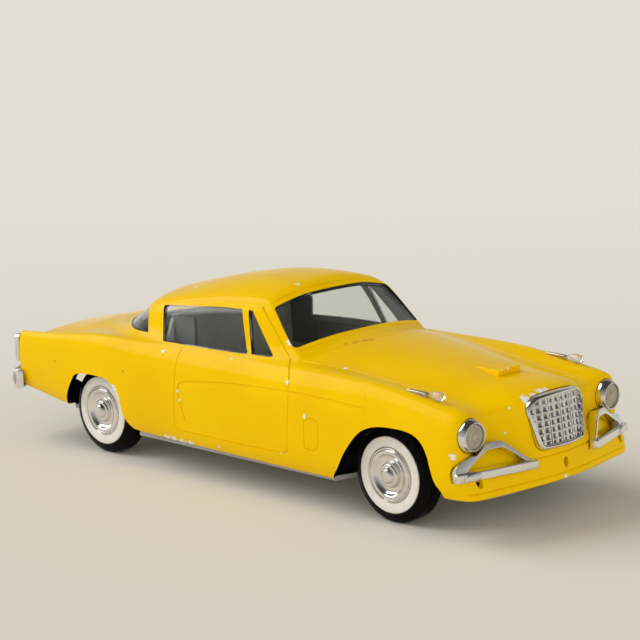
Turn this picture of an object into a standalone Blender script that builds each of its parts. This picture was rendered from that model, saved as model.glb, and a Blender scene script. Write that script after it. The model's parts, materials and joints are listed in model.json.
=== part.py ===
"""Model car: a two-door coupe of the late fifties at 1/25 of the real size.

A thin plastic shell with clear windows and plated trim is screwed to a chassis plate.
Two steel axles turn in ears of the plate, and each carries two wheels.
Frame: +X is the front, +Y the car's left, +Z up, and the tyres stand on z = 0.
Every size below is in millimetres and becomes metres where a mesh is made.
"""
import math

import bmesh
import bpy
from mathutils import Matrix, Vector

MM = 0.001

# Overall layout.
WHEELBASE = 122.4
FRONT_OVERHANG = 36.6
REAR_OVERHANG = 43.6
LENGTH = FRONT_OVERHANG + WHEELBASE + REAR_OVERHANG
FRONT_AXLE_X = LENGTH / 2 - FRONT_OVERHANG
REAR_AXLE_X = FRONT_AXLE_X - WHEELBASE
NOSE_X = LENGTH / 2
TAIL_X = -LENGTH / 2

# General clearances.
SEAT_GAP = 0.3
RUNNING_GAP = 0.25
PEG_RADIUS = 0.9
PEG_LENGTH = 2.2
CUT_REACH = 9.0

# Wheels. Depths are measured inwards from the outer face of the whitewall.
WHEEL_SEGMENTS = 28
HUB_SEGMENTS = 16
TYRE_RADIUS = 13.75
TYRE_WIDTH = 7.0
HUB_RADIUS = 7.7
HUB_DEPTH = 6.2
WHITEWALL_RADIUS = 10.7
WHITEWALL_DEPTH = 0.95
COVER_DEPTH = 1.2
COVER_DOME = 2.6
CAP_RADIUS = 2.9
AXLE_RADIUS = 1.0
AXLE_Z = TYRE_RADIUS * math.cos(math.pi / WHEEL_SEGMENTS)

# Shell.
WALL = 1.4
BODY_HALF_WIDTH = 36.6
W = BODY_HALF_WIDTH
BELT_Z = 39.6
ROOF_Z = 58.0
SILL_Z = 10.3
APRON_Z = 12.1
APRON_TOP_Z = 20.2
GLASS = 0.9

# Chassis plate.
PLATE_Z = 8.6
PLATE_THICKNESS = 1.6
PLATE_HALF_WIDTH = W - 4.4
WHEEL_FACE_Y = W - 4.6
PLATE_WAIST = WHEEL_FACE_Y - TYRE_WIDTH - 2.5
EAR_Y = PLATE_WAIST - 4.0
EAR_THICKNESS = 1.6
EAR_HALF_LENGTH = 4.0
EAR_RISE = 3.0
POST_RADIUS = 2.6
SCREW_RADIUS = 0.9
SCREW_HEAD_RADIUS = 1.7
SCREW_HEAD_DEPTH = 0.9
SCREW_LENGTH = 7.0
FRONT_POST_X = FRONT_AXLE_X + 22.0
REAR_POST_X = REAR_AXLE_X - 23.0
POST_Y = 15.0
WING_Z = 13.0
WING_HEIGHT = 2.6
WING_KICK = 2.2
WING_ROOT_Y = POST_Y + 4.6
WING_HALF_WIDTH = W - 6.0

# Plated trim.
GRILLE_TOP_Z = 35.9
GRILLE_BOTTOM_Z = 21.6
GRILLE_TOP_HALF = 12.4
GRILLE_BOTTOM_HALF = 9.5
GRILLE_RIM = 1.2
GRILLE_DEPTH = 2.4
GRILLE_LIP = 0.6
GRILLE_CORNER = 2.4
GRILLE_BOW = 2.4
GRILLE_CROWN = 1.2
GRILLE_SAG = 0.7
MESH_DEPTH = 0.9
GRILLE_TOP_X = FRONT_AXLE_X + 31.6
GRILLE_BOTTOM_X = FRONT_AXLE_X + 33.6
HEADLAMP_X = FRONT_AXLE_X + 27.7
HEADLAMP_Y = W - 6.9
HEADLAMP_Z = 28.4
HEADLAMP_RADIUS = 4.6
HEADLAMP_DEPTH = 2.8
HEADLAMP_FLARE = 1.2
HEADLAMP_LIP = 0.6
LENS_RADIUS = 3.8
LENS_RIM = 0.5
LENS_DOME = 1.2
LENS_SEAT = 0.8
SIDE_GRILLE_INNER_Y = 13.0
SIDE_GRILLE_OUTER_Y = W
SIDE_GRILLE_SWEEP = 8.0
SIDE_GRILLE_Z = 17.7
SIDE_GRILLE_BAR = 2.4
SIDE_GRILLE_RISE = 9.1
SIDE_GRILLE_DEPTH = 2.8
SIDE_GRILLE_LEAN = 0.34
SIDE_GRILLE_BAR_DEPTH = 2.0
SIDE_GRILLE_BAR_LIP = 0.6
SIDE_GRILLE_DROOP = 0.6
SPEAR_Y = W - 6.7
SPEAR_FRONT_X = FRONT_AXLE_X + 18.8
SPEAR_LENGTH = 13.0
SPEAR_Z = 37.9
CROWN_SLOPE = 0.15
DROP_LENGTH = 5.8
DROP_RADIUS = 1.3
TAIL_LAMP_Y = W - 3.6
TAIL_LAMP_Z = 29.2
TAIL_LAMP_HEIGHT = 9.6
TAIL_LAMP_WIDTH = 3.8
TAIL_LAMP_DEPTH = 1.5
TAIL_LAMP_RIM = 0.7
TAIL_LAMP_FLOOR = 0.6
BUMPER_Z = 16.4
BUMPER_HEIGHT = 6.4
BUMPER_PEG_Y = 18.0
BUMPER_GUARD_Y = W - 3.6
BUMPER_GUARD_RADIUS = 3.7
BUMPER_GUARD_LENGTH = 2.2
BUMPER_HOLE_Z = 16.5
BUMPER_HOLE_RADIUS = 1.0
BUMPER_HOLE_Y = W - 6.0
SCOOP_FRONT_X = FRONT_AXLE_X + 16.6
SCOOP_LENGTH = 14.0
SCOOP_FRONT_Z = 39.4
SCOOP_TAIL_Z = 39.7


def remove_everything():
    for thing in list(bpy.data.objects):
        bpy.data.objects.remove(thing, do_unlink=True)


def material(name, colour, roughness, metallic=0.0, transmission=0.0):
    paint = bpy.data.materials.new(name)
    paint.use_nodes = True
    shader = paint.node_tree.nodes["Principled BSDF"]
    shader.inputs["Base Color"].default_value = (*colour, 1.0)
    shader.inputs["Roughness"].default_value = roughness
    shader.inputs["Metallic"].default_value = metallic
    shader.inputs["Transmission Weight"].default_value = transmission
    paint.diffuse_color = (*colour, 1.0)
    return paint


def add_object(name, bm, paint=None):
    """Object from a bmesh in millimetres, scaled to metres."""
    bmesh.ops.recalc_face_normals(bm, faces=bm.faces)
    bmesh.ops.scale(bm, vec=Vector((MM, MM, MM)), verts=bm.verts)
    mesh = bpy.data.meshes.new(name)
    bm.to_mesh(mesh)
    bm.free()
    thing = bpy.data.objects.new(name, mesh)
    bpy.context.scene.collection.objects.link(thing)
    if paint is None:
        thing.hide_render = True
        thing.display_type = "WIRE"
    else:
        mesh.materials.append(paint)
    return thing


def add_pivot(name, place):
    """Empty on the axis that moving pieces turn about."""
    pivot = bpy.data.objects.new(name, None)
    pivot.location = Vector(place) * MM
    bpy.context.scene.collection.objects.link(pivot)
    return pivot


def hang(thing, pivot):
    """Give a moving piece its origin on the pivot, and leave it where it stands."""
    thing.data.transform(Matrix.Translation(-pivot.location))
    thing.parent = pivot


def combine(thing, other, operation):
    step = thing.modifiers.new(operation.lower() + "_" + other.name, "BOOLEAN")
    step.operation = operation
    step.solver = "EXACT"
    step.object = other
    return thing


def subdivide(thing, levels):
    step = thing.modifiers.new("subdivide", "SUBSURF")
    step.levels = levels
    step.render_levels = levels
    return thing


def chamfer(thing, width, segments=1):
    step = thing.modifiers.new("chamfer", "BEVEL")
    step.width = width * MM
    step.segments = segments
    step.limit_method = "ANGLE"
    step.angle_limit = math.radians(50)
    return thing


def smooth_curve(points):
    """Function of x through (x, value) points, with cubic spans that don't overshoot."""
    xs = [point[0] for point in points]
    values = [point[1] for point in points]
    slopes = [(b - a) / (q - p) for a, b, p, q in zip(values, values[1:], xs, xs[1:])]
    tangents = [slopes[0]]
    for before, after in zip(slopes, slopes[1:]):
        same_way = before * after > 0
        tangents.append(2 * before * after / (before + after) if same_way else 0.0)
    tangents.append(slopes[-1])

    def value(x):
        x = min(max(x, xs[0]), xs[-1])
        n = 0
        while n < len(slopes) - 1 and x > xs[n + 1]:
            n += 1
        span = xs[n + 1] - xs[n]
        t = (x - xs[n]) / span
        rise = values[n + 1] - values[n]
        bend_in = tangents[n] * span - rise
        bend_out = rise - tangents[n + 1] * span
        return values[n] + rise * t + t * (1 - t) * (bend_in * (1 - t) + bend_out * t)

    return value


def box_cage(name, size, point, creased=()):
    """Closed cage of quads over the six sides of a lattice that is mirrored in y."""
    nx, ny, nz = size
    bm = bmesh.new()
    corner = {}

    def vertex(i, j, k):
        if (i, j, k) not in corner:
            x, y, z = point(i, abs(j), k)
            corner[i, j, k] = bm.verts.new((x, math.copysign(y, j) if j else 0.0, z))
        return corner[i, j, k]

    for i in range(nx):
        for j in range(-ny, ny):
            for k in (0, nz):
                bm.faces.new([vertex(i + a, j + b, k) for a, b in ((0, 0), (1, 0), (1, 1), (0, 1))])
        for k in range(nz):
            for j in (-ny, ny):
                bm.faces.new([vertex(i + a, j, k + b) for a, b in ((0, 0), (1, 0), (1, 1), (0, 1))])
    for j in range(-ny, ny):
        for k in range(nz):
            for i in (0, nx):
                bm.faces.new([vertex(i, j + a, k + b) for a, b in ((0, 0), (1, 0), (1, 1), (0, 1))])
    layer = bm.edges.layers.float.new("crease_edge")
    places = {vert: place for place, vert in corner.items()}
    for edge in bm.edges:
        start, end = (places[vert] for vert in edge.verts)
        for rule, amount in creased:
            if rule(*start) and rule(*end):
                edge[layer] = amount
    return add_object(name, bm)


def prism(name, outline, start, end, frame=Matrix(), paint=None):
    """Outline of (u, v) points, extruded along w from start to end, placed by a matrix in millimetres."""
    bm = bmesh.new()
    verts = [bm.verts.new(frame @ Vector((u, v, start))) for u, v in outline]
    face = bm.faces.new(verts)
    swept = bmesh.ops.extrude_face_region(bm, geom=[face])["geom"]
    moved = [item for item in swept if isinstance(item, bmesh.types.BMVert)]
    travel = frame.to_3x3() @ Vector((0, 0, end - start))
    bmesh.ops.translate(bm, vec=travel, verts=moved)
    return add_object(name, bm, paint)


def turned(name, profile, frame, segments, paint=None, closed=True):
    """Profile of (radius, along) points spun about the frame's z axis."""
    bm = bmesh.new()
    turn_half = Matrix.Rotation(math.pi / segments, 4, "Z")
    verts = [bm.verts.new(turn_half @ Vector((radius, 0, along))) for radius, along in profile]
    pairs = list(zip(verts, verts[1:]))
    if closed:
        pairs.append((verts[-1], verts[0]))
    edges = [bm.edges.new(pair) for pair in pairs]
    bmesh.ops.spin(
        bm, geom=verts + edges, cent=(0, 0, 0), axis=(0, 0, 1),
        angle=2 * math.pi, steps=segments, use_merge=True,
    )
    bmesh.ops.remove_doubles(bm, verts=bm.verts, dist=0.0001)
    bmesh.ops.transform(bm, matrix=frame, verts=bm.verts)
    thing = add_object(name, bm, paint)
    thing.data.shade_smooth()
    thing.data.set_sharp_from_angle(angle=math.radians(35))
    return thing


def axis_frame(origin, along, across=(0, 0, 1)):
    """Frame whose z axis runs along a direction and whose x axis stays near another."""
    w = Vector(along).normalized()
    u = Vector(across)
    u = (u - w * u.dot(w)).normalized()
    v = w.cross(u)
    frame = Matrix((u, v, w)).transposed().to_4x4()
    frame.translation = Vector(origin)
    return frame


def rounded(points, radius, steps=3):
    """Closed outline with each corner of a polygon replaced by an arc."""
    outline = []
    count = len(points)
    for n in range(count):
        corner = Vector(points[n])
        before = (Vector(points[n - 1]) - corner).normalized()
        after = (Vector(points[(n + 1) % count]) - corner).normalized()
        half = before.angle(after) / 2
        reach = radius / math.tan(half)
        centre = corner + (before + after).normalized() * radius / math.sin(half)
        first = corner + before * reach - centre
        last = corner + after * reach - centre
        sweep = first.angle_signed(last)
        for step in range(steps + 1):
            outline.append(tuple(centre + Matrix.Rotation(-sweep * step / steps, 2) @ first))
    return outline


def mirrored(half):
    """Closed outline from its right half, given from bottom to top as (u, v) with u the half width."""
    return half + [(-u, v) for u, v in reversed(half)]


# Side view frame: u is x, v is z, and the extrusion runs across the car.
ACROSS = Matrix(((1, 0, 0, 0), (0, 0, -1, 0), (0, 1, 0, 0), (0, 0, 0, 1)))


def front(offset):
    return FRONT_AXLE_X + offset


def rear(offset):
    return REAR_AXLE_X + offset


def line(points):
    """Pair of curves, y and z, along x."""
    return (
        smooth_curve([(x, y) for x, y, z in points]),
        smooth_curve([(x, z) for x, y, z in points]),
    )


# Lower body: lines along the car from the sill up to the fender crown, then in to the middle.
SIDE_LINES = [
    line([(rear(-37), W - 3.4, 17.2), (rear(-15), W - 2.4, 14.4), (rear(18), W - 2.2, SILL_Z + 0.4),
          (front(-20), W - 2.0, SILL_Z - 0.2), (front(22), W - 1.8, APRON_Z)]),
    line([(rear(-37), W - 2.4, 19.2), (rear(-15), W - 1.2, 16.6), (rear(18), W - 0.8, SILL_Z + 2.6),
          (front(-20), W - 0.6, SILL_Z + 2.2), (front(22), W - 0.5, APRON_Z + 2.6)]),
    line([(rear(-37), W - 1.9, 21.6), (rear(-15), W - 0.5, 20.4), (rear(18), W, 18.0),
          (front(-20), W, 18.0), (front(22), W - 0.1, 19.4)]),
    line([(rear(-37), W - 1.6, 25.0), (rear(-15), W - 0.2, 24.6), (rear(18), W + 0.1, 24.4),
          (front(-20), W + 0.1, 24.4), (front(22), W - 0.2, 23.6)]),
    line([(rear(-37), W - 1.5, 29.0), (rear(-15), W - 0.3, 29.8), (rear(18), W - 0.2, 31.0),
          (front(-20), W, 31.4), (front(22), W - 0.8, 28.4)]),
    line([(rear(-37), W - 1.7, 33.0), (rear(-15), W - 0.8, 34.4), (rear(18), W - 1.4, 36.2),
          (front(-20), W - 1.2, 36.0), (front(5), W - 1.4, 35.0), (front(22), W - 2.0, 32.0)]),
]
CROWN_LINE = line([
    (rear(-37), W - 2.8, 35.6), (rear(-15), W - 2.4, 37.4), (rear(6), W - 3.2, 39.2),
    (rear(24), W - 4.6, BELT_Z - 0.7), (front(-40), W - 4.4, BELT_Z - 0.4),
    (front(-10), W - 3.8, 39.3), (front(5), W - 4.0, 38.0), (front(22), W - 3.6, 34.6),
])
TOP_LINES = [
    line([(rear(-37), 0, 33.6), (rear(-19), 0, 38.4), (rear(-4), 0, 39.4), (front(-42), 0, 44.9),
          (front(-14), 0, 42.2), (front(6), 0, 39.7), (front(28), 0, 37.2)]),
    line([(rear(-37), 7, 33.5), (rear(-19), 7, 38.2), (rear(-4), 7, 39.3), (front(-42), 7, 44.6),
          (front(-14), 7, 41.9), (front(6), 7, 39.4), (front(28), 7, 37.0)]),
    line([(rear(-37), 13.4, 33.2), (rear(-19), 13.4, 37.7), (rear(-4), 13.4, 39.0), (front(-42), 13, 43.9),
          (front(-14), 13, 41.2), (front(6), 13, 38.6), (front(26), 12.8, 36.0)]),
    line([(rear(-37), 19.6, 32.6), (rear(-19), 19.6, 36.8), (rear(-4), 19.6, 38.6), (front(-42), 19, 42.5),
          (front(-14), 19, 39.9), (front(6), 18.6, 37.0), (front(24), 17.6, 34.2)]),
    line([(rear(-37), W - 11.2, 32.4), (rear(-19), W - 11.2, 34.6), (rear(-4), W - 11.2, 38.0),
          (front(-42), W - 12.2, 40.8), (front(-14), W - 12.2, 38.4), (front(6), W - 12.6, 35.7),
          (front(24), W - 14.0, 32.8)]),
    line([(rear(-37), W - 5.8, 34.2), (rear(-19), W - 6.2, 35.8), (rear(-4), W - 7.2, 38.2),
          (rear(30), W - 7.0, 38.6), (front(-42), W - 7.8, 39.8), (front(-14), W - 7.8, 39.2),
          (front(6), W - 8.0, 37.9), (front(24), W - 8.2, 35.0)]),
]
STATIONS = [rear(offset) for offset in (-36, -29, -20, -9, 3, 17)]
STATIONS += [front(offset) for offset in (-84, -62, -42, -28, -15, -3, 8, 16, 22)]

# Nose and tail in plan: x over y at each height, from the lower edge to the upper one.
APRON_PLAN = smooth_curve([(0, NOSE_X - 1.0), (14, NOSE_X - 2.0), (24, NOSE_X - 3.8), (W - 4.2, NOSE_X - 4.6),
                           (W, NOSE_X - 7.6)])
LEDGE_PLAN = smooth_curve([(0, NOSE_X - 1.6), (13, NOSE_X - 3.2), (24, NOSE_X - 6.4), (W - 4.2, NOSE_X - 8.4),
                           (W, NOSE_X - 10.4)])
RECESS_PLAN = smooth_curve([(0, NOSE_X - 2.0), (13, NOSE_X - 4.0), (19, NOSE_X - 9.0),
                            (W - 4.6, NOSE_X - 9.6), (W, NOSE_X - 10.4)])
LAMP_PLAN = smooth_curve([(0, NOSE_X - 2.6), (13, NOSE_X - 4.4), (19, NOSE_X - 9.8), (25, NOSE_X - 10.0),
                          (W - 3.6, NOSE_X - 9.7), (W, NOSE_X - 9.0)])
HOOD_PLAN = smooth_curve([(0, NOSE_X - 4.2), (12.8, NOSE_X - 6.4), (17.6, NOSE_X - 10.4),
                          (22.6, NOSE_X - 11.0), (W - 7.6, NOSE_X - 9.4), (W, NOSE_X - 10.4)])
NOSE_ROWS = [
    (APRON_PLAN, APRON_Z, W - 1.0), (APRON_PLAN, APRON_Z + 3.0, W + 0.2), (LEDGE_PLAN, APRON_TOP_Z, W + 0.2),
    (RECESS_PLAN, 21.6, W - 0.4), (LAMP_PLAN, 25.2, W - 0.3), (LAMP_PLAN, 31.6, W - 0.7),
]
TAIL_PLAN = smooth_curve([(0, TAIL_X + 2.6), (18, TAIL_X + 3.4), (W - 7.6, TAIL_X + 5.2), (W, TAIL_X + 6.6)])
TAIL_ROWS = [17.2, 19.4, 22.2, 25.4, 29.0, 32.2]
COLUMN_SHARES = [0.0, 0.2, 0.37, 0.53, 0.7, 0.88, 1.0]


def lower_body(name, inset=0.0, drop=0.0, pitch=1):
    """Lower body as a solid, drawn in by the inset on every side but the open bottom.

    A pitch of 2 keeps every second line and gives the coarser form of the inside.
    """
    last = len(STATIONS) - 1
    top = len(SIDE_LINES)
    side = len(TOP_LINES)
    picked = sorted(set(range(0, last + 1, pitch)) | {last})

    def along(curves, x):
        return curves[0](x), curves[1](x)

    def outer(i, j, k):
        x = STATIONS[i]
        if k == top:
            y, z = along(CROWN_LINE if j == side else TOP_LINES[j], x)
        else:
            y, z = along(SIDE_LINES[k], x)
            y *= COLUMN_SHARES[j]
        if i == last and k == top:
            x = HOOD_PLAN(y)
        elif i == last:
            plan, z, half = NOSE_ROWS[k]
            y = half * COLUMN_SHARES[j]
            x = plan(y) if pitch == 1 else min(LAMP_PLAN(y), LEDGE_PLAN(y)) - WALL
        elif i == 0:
            x = TAIL_PLAN(y)
            if k < top:
                z = TAIL_ROWS[k]
        return x, y, z

    def point(i, j, k):
        i = picked[i]
        j *= pitch
        k *= pitch
        x, y, z = outer(i, j, k)
        if i == last:
            x -= inset
        if i == 0:
            x += inset
        if j == side:
            y -= inset
        if k == top:
            z -= inset
        if k == 0:
            z -= drop
        return x, y, z

    size = (len(picked) - 1, side // pitch, top // pitch)

    def on_bottom(i, j, k):
        return k == 0 and (i in (0, size[0]) or abs(j) == size[1])

    def on_tail_corner(i, j, k):
        return i == 0 and (abs(j) == size[1] or k == size[2])

    return subdivide(box_cage(name, size, point, [(on_tail_corner, 0.7), (on_bottom, 1.0)]), 1)


def apron_cavity():
    """Space behind the apron, open to the cavity and to below."""
    places = (0.0, 14.0, 24.0, W - 5.6)
    edge = [(APRON_PLAN(y) - WALL * 1.6, y) for y in places]
    back = front(18)
    outline = [(x, -y) for x, y in reversed(edge)] + edge[1:] + [(back, places[-1]), (back, -places[-1])]
    return prism("apron_cavity", outline, 0.0, SIDE_GRILLE_Z - WALL)


# Greenhouse: roof rail, pillars and glass lie on one closed form that stands in the lower body.
ROOF_LINE = smooth_curve([(rear(16), ROOF_Z - 6.4), (rear(24), ROOF_Z - 3.7), (rear(37), ROOF_Z - 0.8),
                          (front(-73), ROOF_Z + 1.0), (front(-62), ROOF_Z + 1.3), (front(-53), ROOF_Z + 0.5)])
RAIL_Z = smooth_curve([(rear(15), ROOF_Z - 9.8), (rear(30), ROOF_Z - 6.8), (front(-70), ROOF_Z - 4.2),
                       (front(-53), ROOF_Z - 3.5)])
RAIL_Y = smooth_curve([(rear(15), W - 12.4), (rear(30), W - 11.2), (front(-70), W - 10.8),
                       (front(-53), W - 12.0)])
FOOT_Y = smooth_curve([(rear(15), W - 7.2), (rear(30), W - 5.4), (front(-70), W - 5.2), (front(-53), W - 6.0),
                       (front(-40), W - 8.0)])
CABIN_STATIONS = [rear(16), rear(22), rear(34), front(-74), front(-62), front(-53)]
CABIN_SHARES = [0.0, 0.28, 0.54, 0.8, 1.0]
CABIN_HEIGHTS = [0.0, 0.32, 0.66, 1.0]
CABIN_FOOT_Z = BELT_Z - 3.6
WINDSCREEN_RUN = 23.0
BACKLIGHT_RUN = 27.0


def greenhouse(name, inset=0.0):
    """Upper body as a solid, drawn in by the inset on every side but its foot."""
    last = len(CABIN_STATIONS) - 1
    side = len(CABIN_SHARES) - 1
    top = len(CABIN_HEIGHTS) - 1

    def point(i, j, k):
        x = CABIN_STATIONS[i]
        share = CABIN_SHARES[j]
        height = CABIN_HEIGHTS[k]
        rail_z = RAIL_Z(x)
        upper_z = rail_z + (ROOF_LINE(x) - rail_z) * (1 - share ** 2.6)
        y = (FOOT_Y(x) + (RAIL_Y(x) - FOOT_Y(x)) * height) * share
        z = CABIN_FOOT_Z + (upper_z - CABIN_FOOT_Z) * height
        if i == last:
            x += WINDSCREEN_RUN * (1 - height) * (1 - 0.18 * share ** 3)
            y -= 3.0 * (1 - height) * share
        elif i == 0:
            x -= BACKLIGHT_RUN * (1 - height) * (1 - 0.78 * share ** 2.5) + 4.0 * (1 - share ** 2)
        if i == last:
            x -= inset * 1.2
        if i == 0:
            x += inset * 1.2
        if j == side:
            y -= inset
        if k == top:
            z -= inset
        return x, y, z

    def front_pillar(i, j, k):
        return i == last and abs(j) == side

    def rear_pillar(i, j, k):
        return i == 0 and abs(j) == side

    def header(i, j, k):
        return i == last and k == top

    def foot(i, j, k):
        return k == 0 and (i in (0, last) or abs(j) == side)

    creases = [(foot, 1.0), (front_pillar, 0.7), (rear_pillar, 0.2), (header, 0.3)]
    return subdivide(box_cage(name, (last, side, top), point, creases), 1)


# Openings in the side view.
MAIN_WINDOW = [(rear(28.2), BELT_Z - 0.6), (front(-57.4), BELT_Z - 0.1), (front(-62.6), ROOF_Z - 6.3),
               (front(-70), ROOF_Z - 6.5), (rear(41.4), ROOF_Z - 7.3), (rear(24.1), ROOF_Z - 9.0)]
VENT_WINDOW = [(front(-55.9), BELT_Z), (front(-47.6), BELT_Z + 0.1), (front(-58.3), ROOF_Z - 6.4),
               (front(-60.2), ROOF_Z - 6.0)]
BACKLIGHT_CUT = [(rear(20.0), BELT_Z + 0.8), (rear(16.3), ROOF_Z - 10.3), (rear(10.6), ROOF_Z - 7.0),
                 (rear(-30), ROOF_Z - 4.0), (rear(-30), BELT_Z + 0.4)]
WINDSCREEN_FOOT = Vector((front(-39.0), 0, BELT_Z + 4.7))
WINDSCREEN_HEAD = Vector((front(-52.6), 0, ROOF_Z - 3.0))
WINDSCREEN_HEIGHT = (WINDSCREEN_HEAD - WINDSCREEN_FOOT).length
WINDSCREEN_OUTLINE = [(W - 10.1, 0.4), (W - 11.2, 8.0), (W - 12.7, WINDSCREEN_HEIGHT - 2.2),
                      (W - 24.6, WINDSCREEN_HEIGHT - 1.2)]
WINDOW_CORNER = 1.3
VENT_CORNER = 0.5
GLASS_MARGIN = 1.2
FAR = 60.0


def grown(outline, margin):
    """Convex outline moved out by a margin."""
    middle = sum((Vector(point) for point in outline), Vector((0, 0))) / len(outline)
    return [tuple(Vector(point) + (Vector(point) - middle).normalized() * margin) for point in outline]


def windscreen_cutter(name, margin=0.0):
    slope = (WINDSCREEN_HEAD - WINDSCREEN_FOOT).normalized()
    frame = axis_frame(WINDSCREEN_FOOT, Vector((0, 1, 0)).cross(slope), (0, 1, 0))
    outline = mirrored(WINDSCREEN_OUTLINE)
    depth = WALL + SEAT_GAP + GLASS + 1.2
    return prism(name, rounded(grown(outline, margin), WINDOW_CORNER), -depth, CUT_REACH, frame)


def window_cutter(name, corners, margin=0.0, radius=WINDOW_CORNER):
    return prism(name, rounded(grown(corners, margin), radius), -FAR, FAR, ACROSS)


# Wheel arches in the side view, as places from the axle.
FRONT_ARCH = [(-19.6, 4.0), (-18.6, 10.0), (-15.6, 14.0), (-11.8, 19.8), (-6.4, 25.6), (0.0, 28.0),
              (9.4, 28.3), (14.6, 26.7), (17.6, 23.0), (20.0, 16.3), (22.4, 12.6), (23.0, 4.0)]
REAR_ARCH = [(-16.0, 4.0), (-14.2, 14.4), (-9.4, 22.6), (-5.4, 25.6), (6.4, 25.9), (11.0, 23.9), (14.2, 19.6),
             (15.4, 14.6), (18.4, 11.2), (21.4, 10.4), (21.6, 4.0)]


def arch_cutter(name, axle_x, places):
    outline = [(axle_x + x, z) for x, z in places]
    return prism(name, outline, -FAR, FAR, ACROSS)


def wheel_frame(axle_x, side):
    """Frame at the outer face of a wheel, with z pointing inwards."""
    return axis_frame((axle_x, side * WHEEL_FACE_Y, AXLE_Z), (0, -side, 0))


def build_wheel(place, axle_x, side, pivot, paints):
    frame = wheel_frame(axle_x, side)
    recess = WHITEWALL_RADIUS + SEAT_GAP
    bore = HUB_RADIUS + SEAT_GAP
    floor = WHITEWALL_DEPTH + SEAT_GAP
    tyre = [
        (bore, floor), (recess, floor), (recess, 0.3), (TYRE_RADIUS - 1.3, 0.9), (TYRE_RADIUS - 0.4, 1.9),
        (TYRE_RADIUS, 3.0), (TYRE_RADIUS, TYRE_WIDTH - 2.4), (TYRE_RADIUS - 0.5, TYRE_WIDTH - 1.3),
        (TYRE_RADIUS - 1.6, TYRE_WIDTH - 0.4), (recess, TYRE_WIDTH), (bore, TYRE_WIDTH - 0.5),
    ]
    hang(turned("tyre_" + place, tyre, frame, WHEEL_SEGMENTS, paints["tyre"]), pivot)
    whitewall = [
        (bore, 0.2), (WHITEWALL_RADIUS - 1.2, 0.0), (WHITEWALL_RADIUS, 0.2),
        (WHITEWALL_RADIUS, WHITEWALL_DEPTH), (bore, WHITEWALL_DEPTH),
    ]
    hang(turned("whitewall_" + place, whitewall, frame, WHEEL_SEGMENTS, paints["whitewall"]), pivot)
    hub_bore = AXLE_RADIUS + 0.15
    hub = [(hub_bore, COVER_DEPTH + SEAT_GAP), (HUB_RADIUS, COVER_DEPTH + SEAT_GAP), (HUB_RADIUS, HUB_DEPTH),
           (hub_bore, HUB_DEPTH)]
    hang(turned("wheel_hub_" + place, hub, frame, HUB_SEGMENTS, paints["hub"]), pivot)
    cover = [
        (0.0, COVER_DEPTH), (HUB_RADIUS, COVER_DEPTH), (HUB_RADIUS, 0.1), (HUB_RADIUS - 0.6, -0.4),
        (HUB_RADIUS - 1.4, 0.2), (CAP_RADIUS + 0.9, 0.6), (CAP_RADIUS, 0.0), (CAP_RADIUS - 0.7, -1.0),
        (CAP_RADIUS - 1.8, COVER_DEPTH - COVER_DOME - 0.2), (0.0, COVER_DEPTH - COVER_DOME - 0.4),
    ]
    hang(turned("wheel_cover_" + place, cover, frame, WHEEL_SEGMENTS, paints["chrome"], closed=False), pivot)


def build_axle(place, axle_x, pivot, paints):
    half = WHEEL_FACE_Y - COVER_DEPTH - 2 * SEAT_GAP
    frame = axis_frame((axle_x, -half, AXLE_Z), (0, 1, 0))
    rod = [(0.0, 0.0), (AXLE_RADIUS, 0.0), (AXLE_RADIUS, 2 * half), (0.0, 2 * half)]
    hang(turned("axle_" + place, rod, frame, HUB_SEGMENTS, paints["steel"], closed=False), pivot)


def screw_places():
    for place, x in (("front", FRONT_POST_X), ("rear", REAR_POST_X)):
        for hand, side in (("left", 1), ("right", -1)):
            yield place + "_" + hand, x, side * POST_Y


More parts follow.
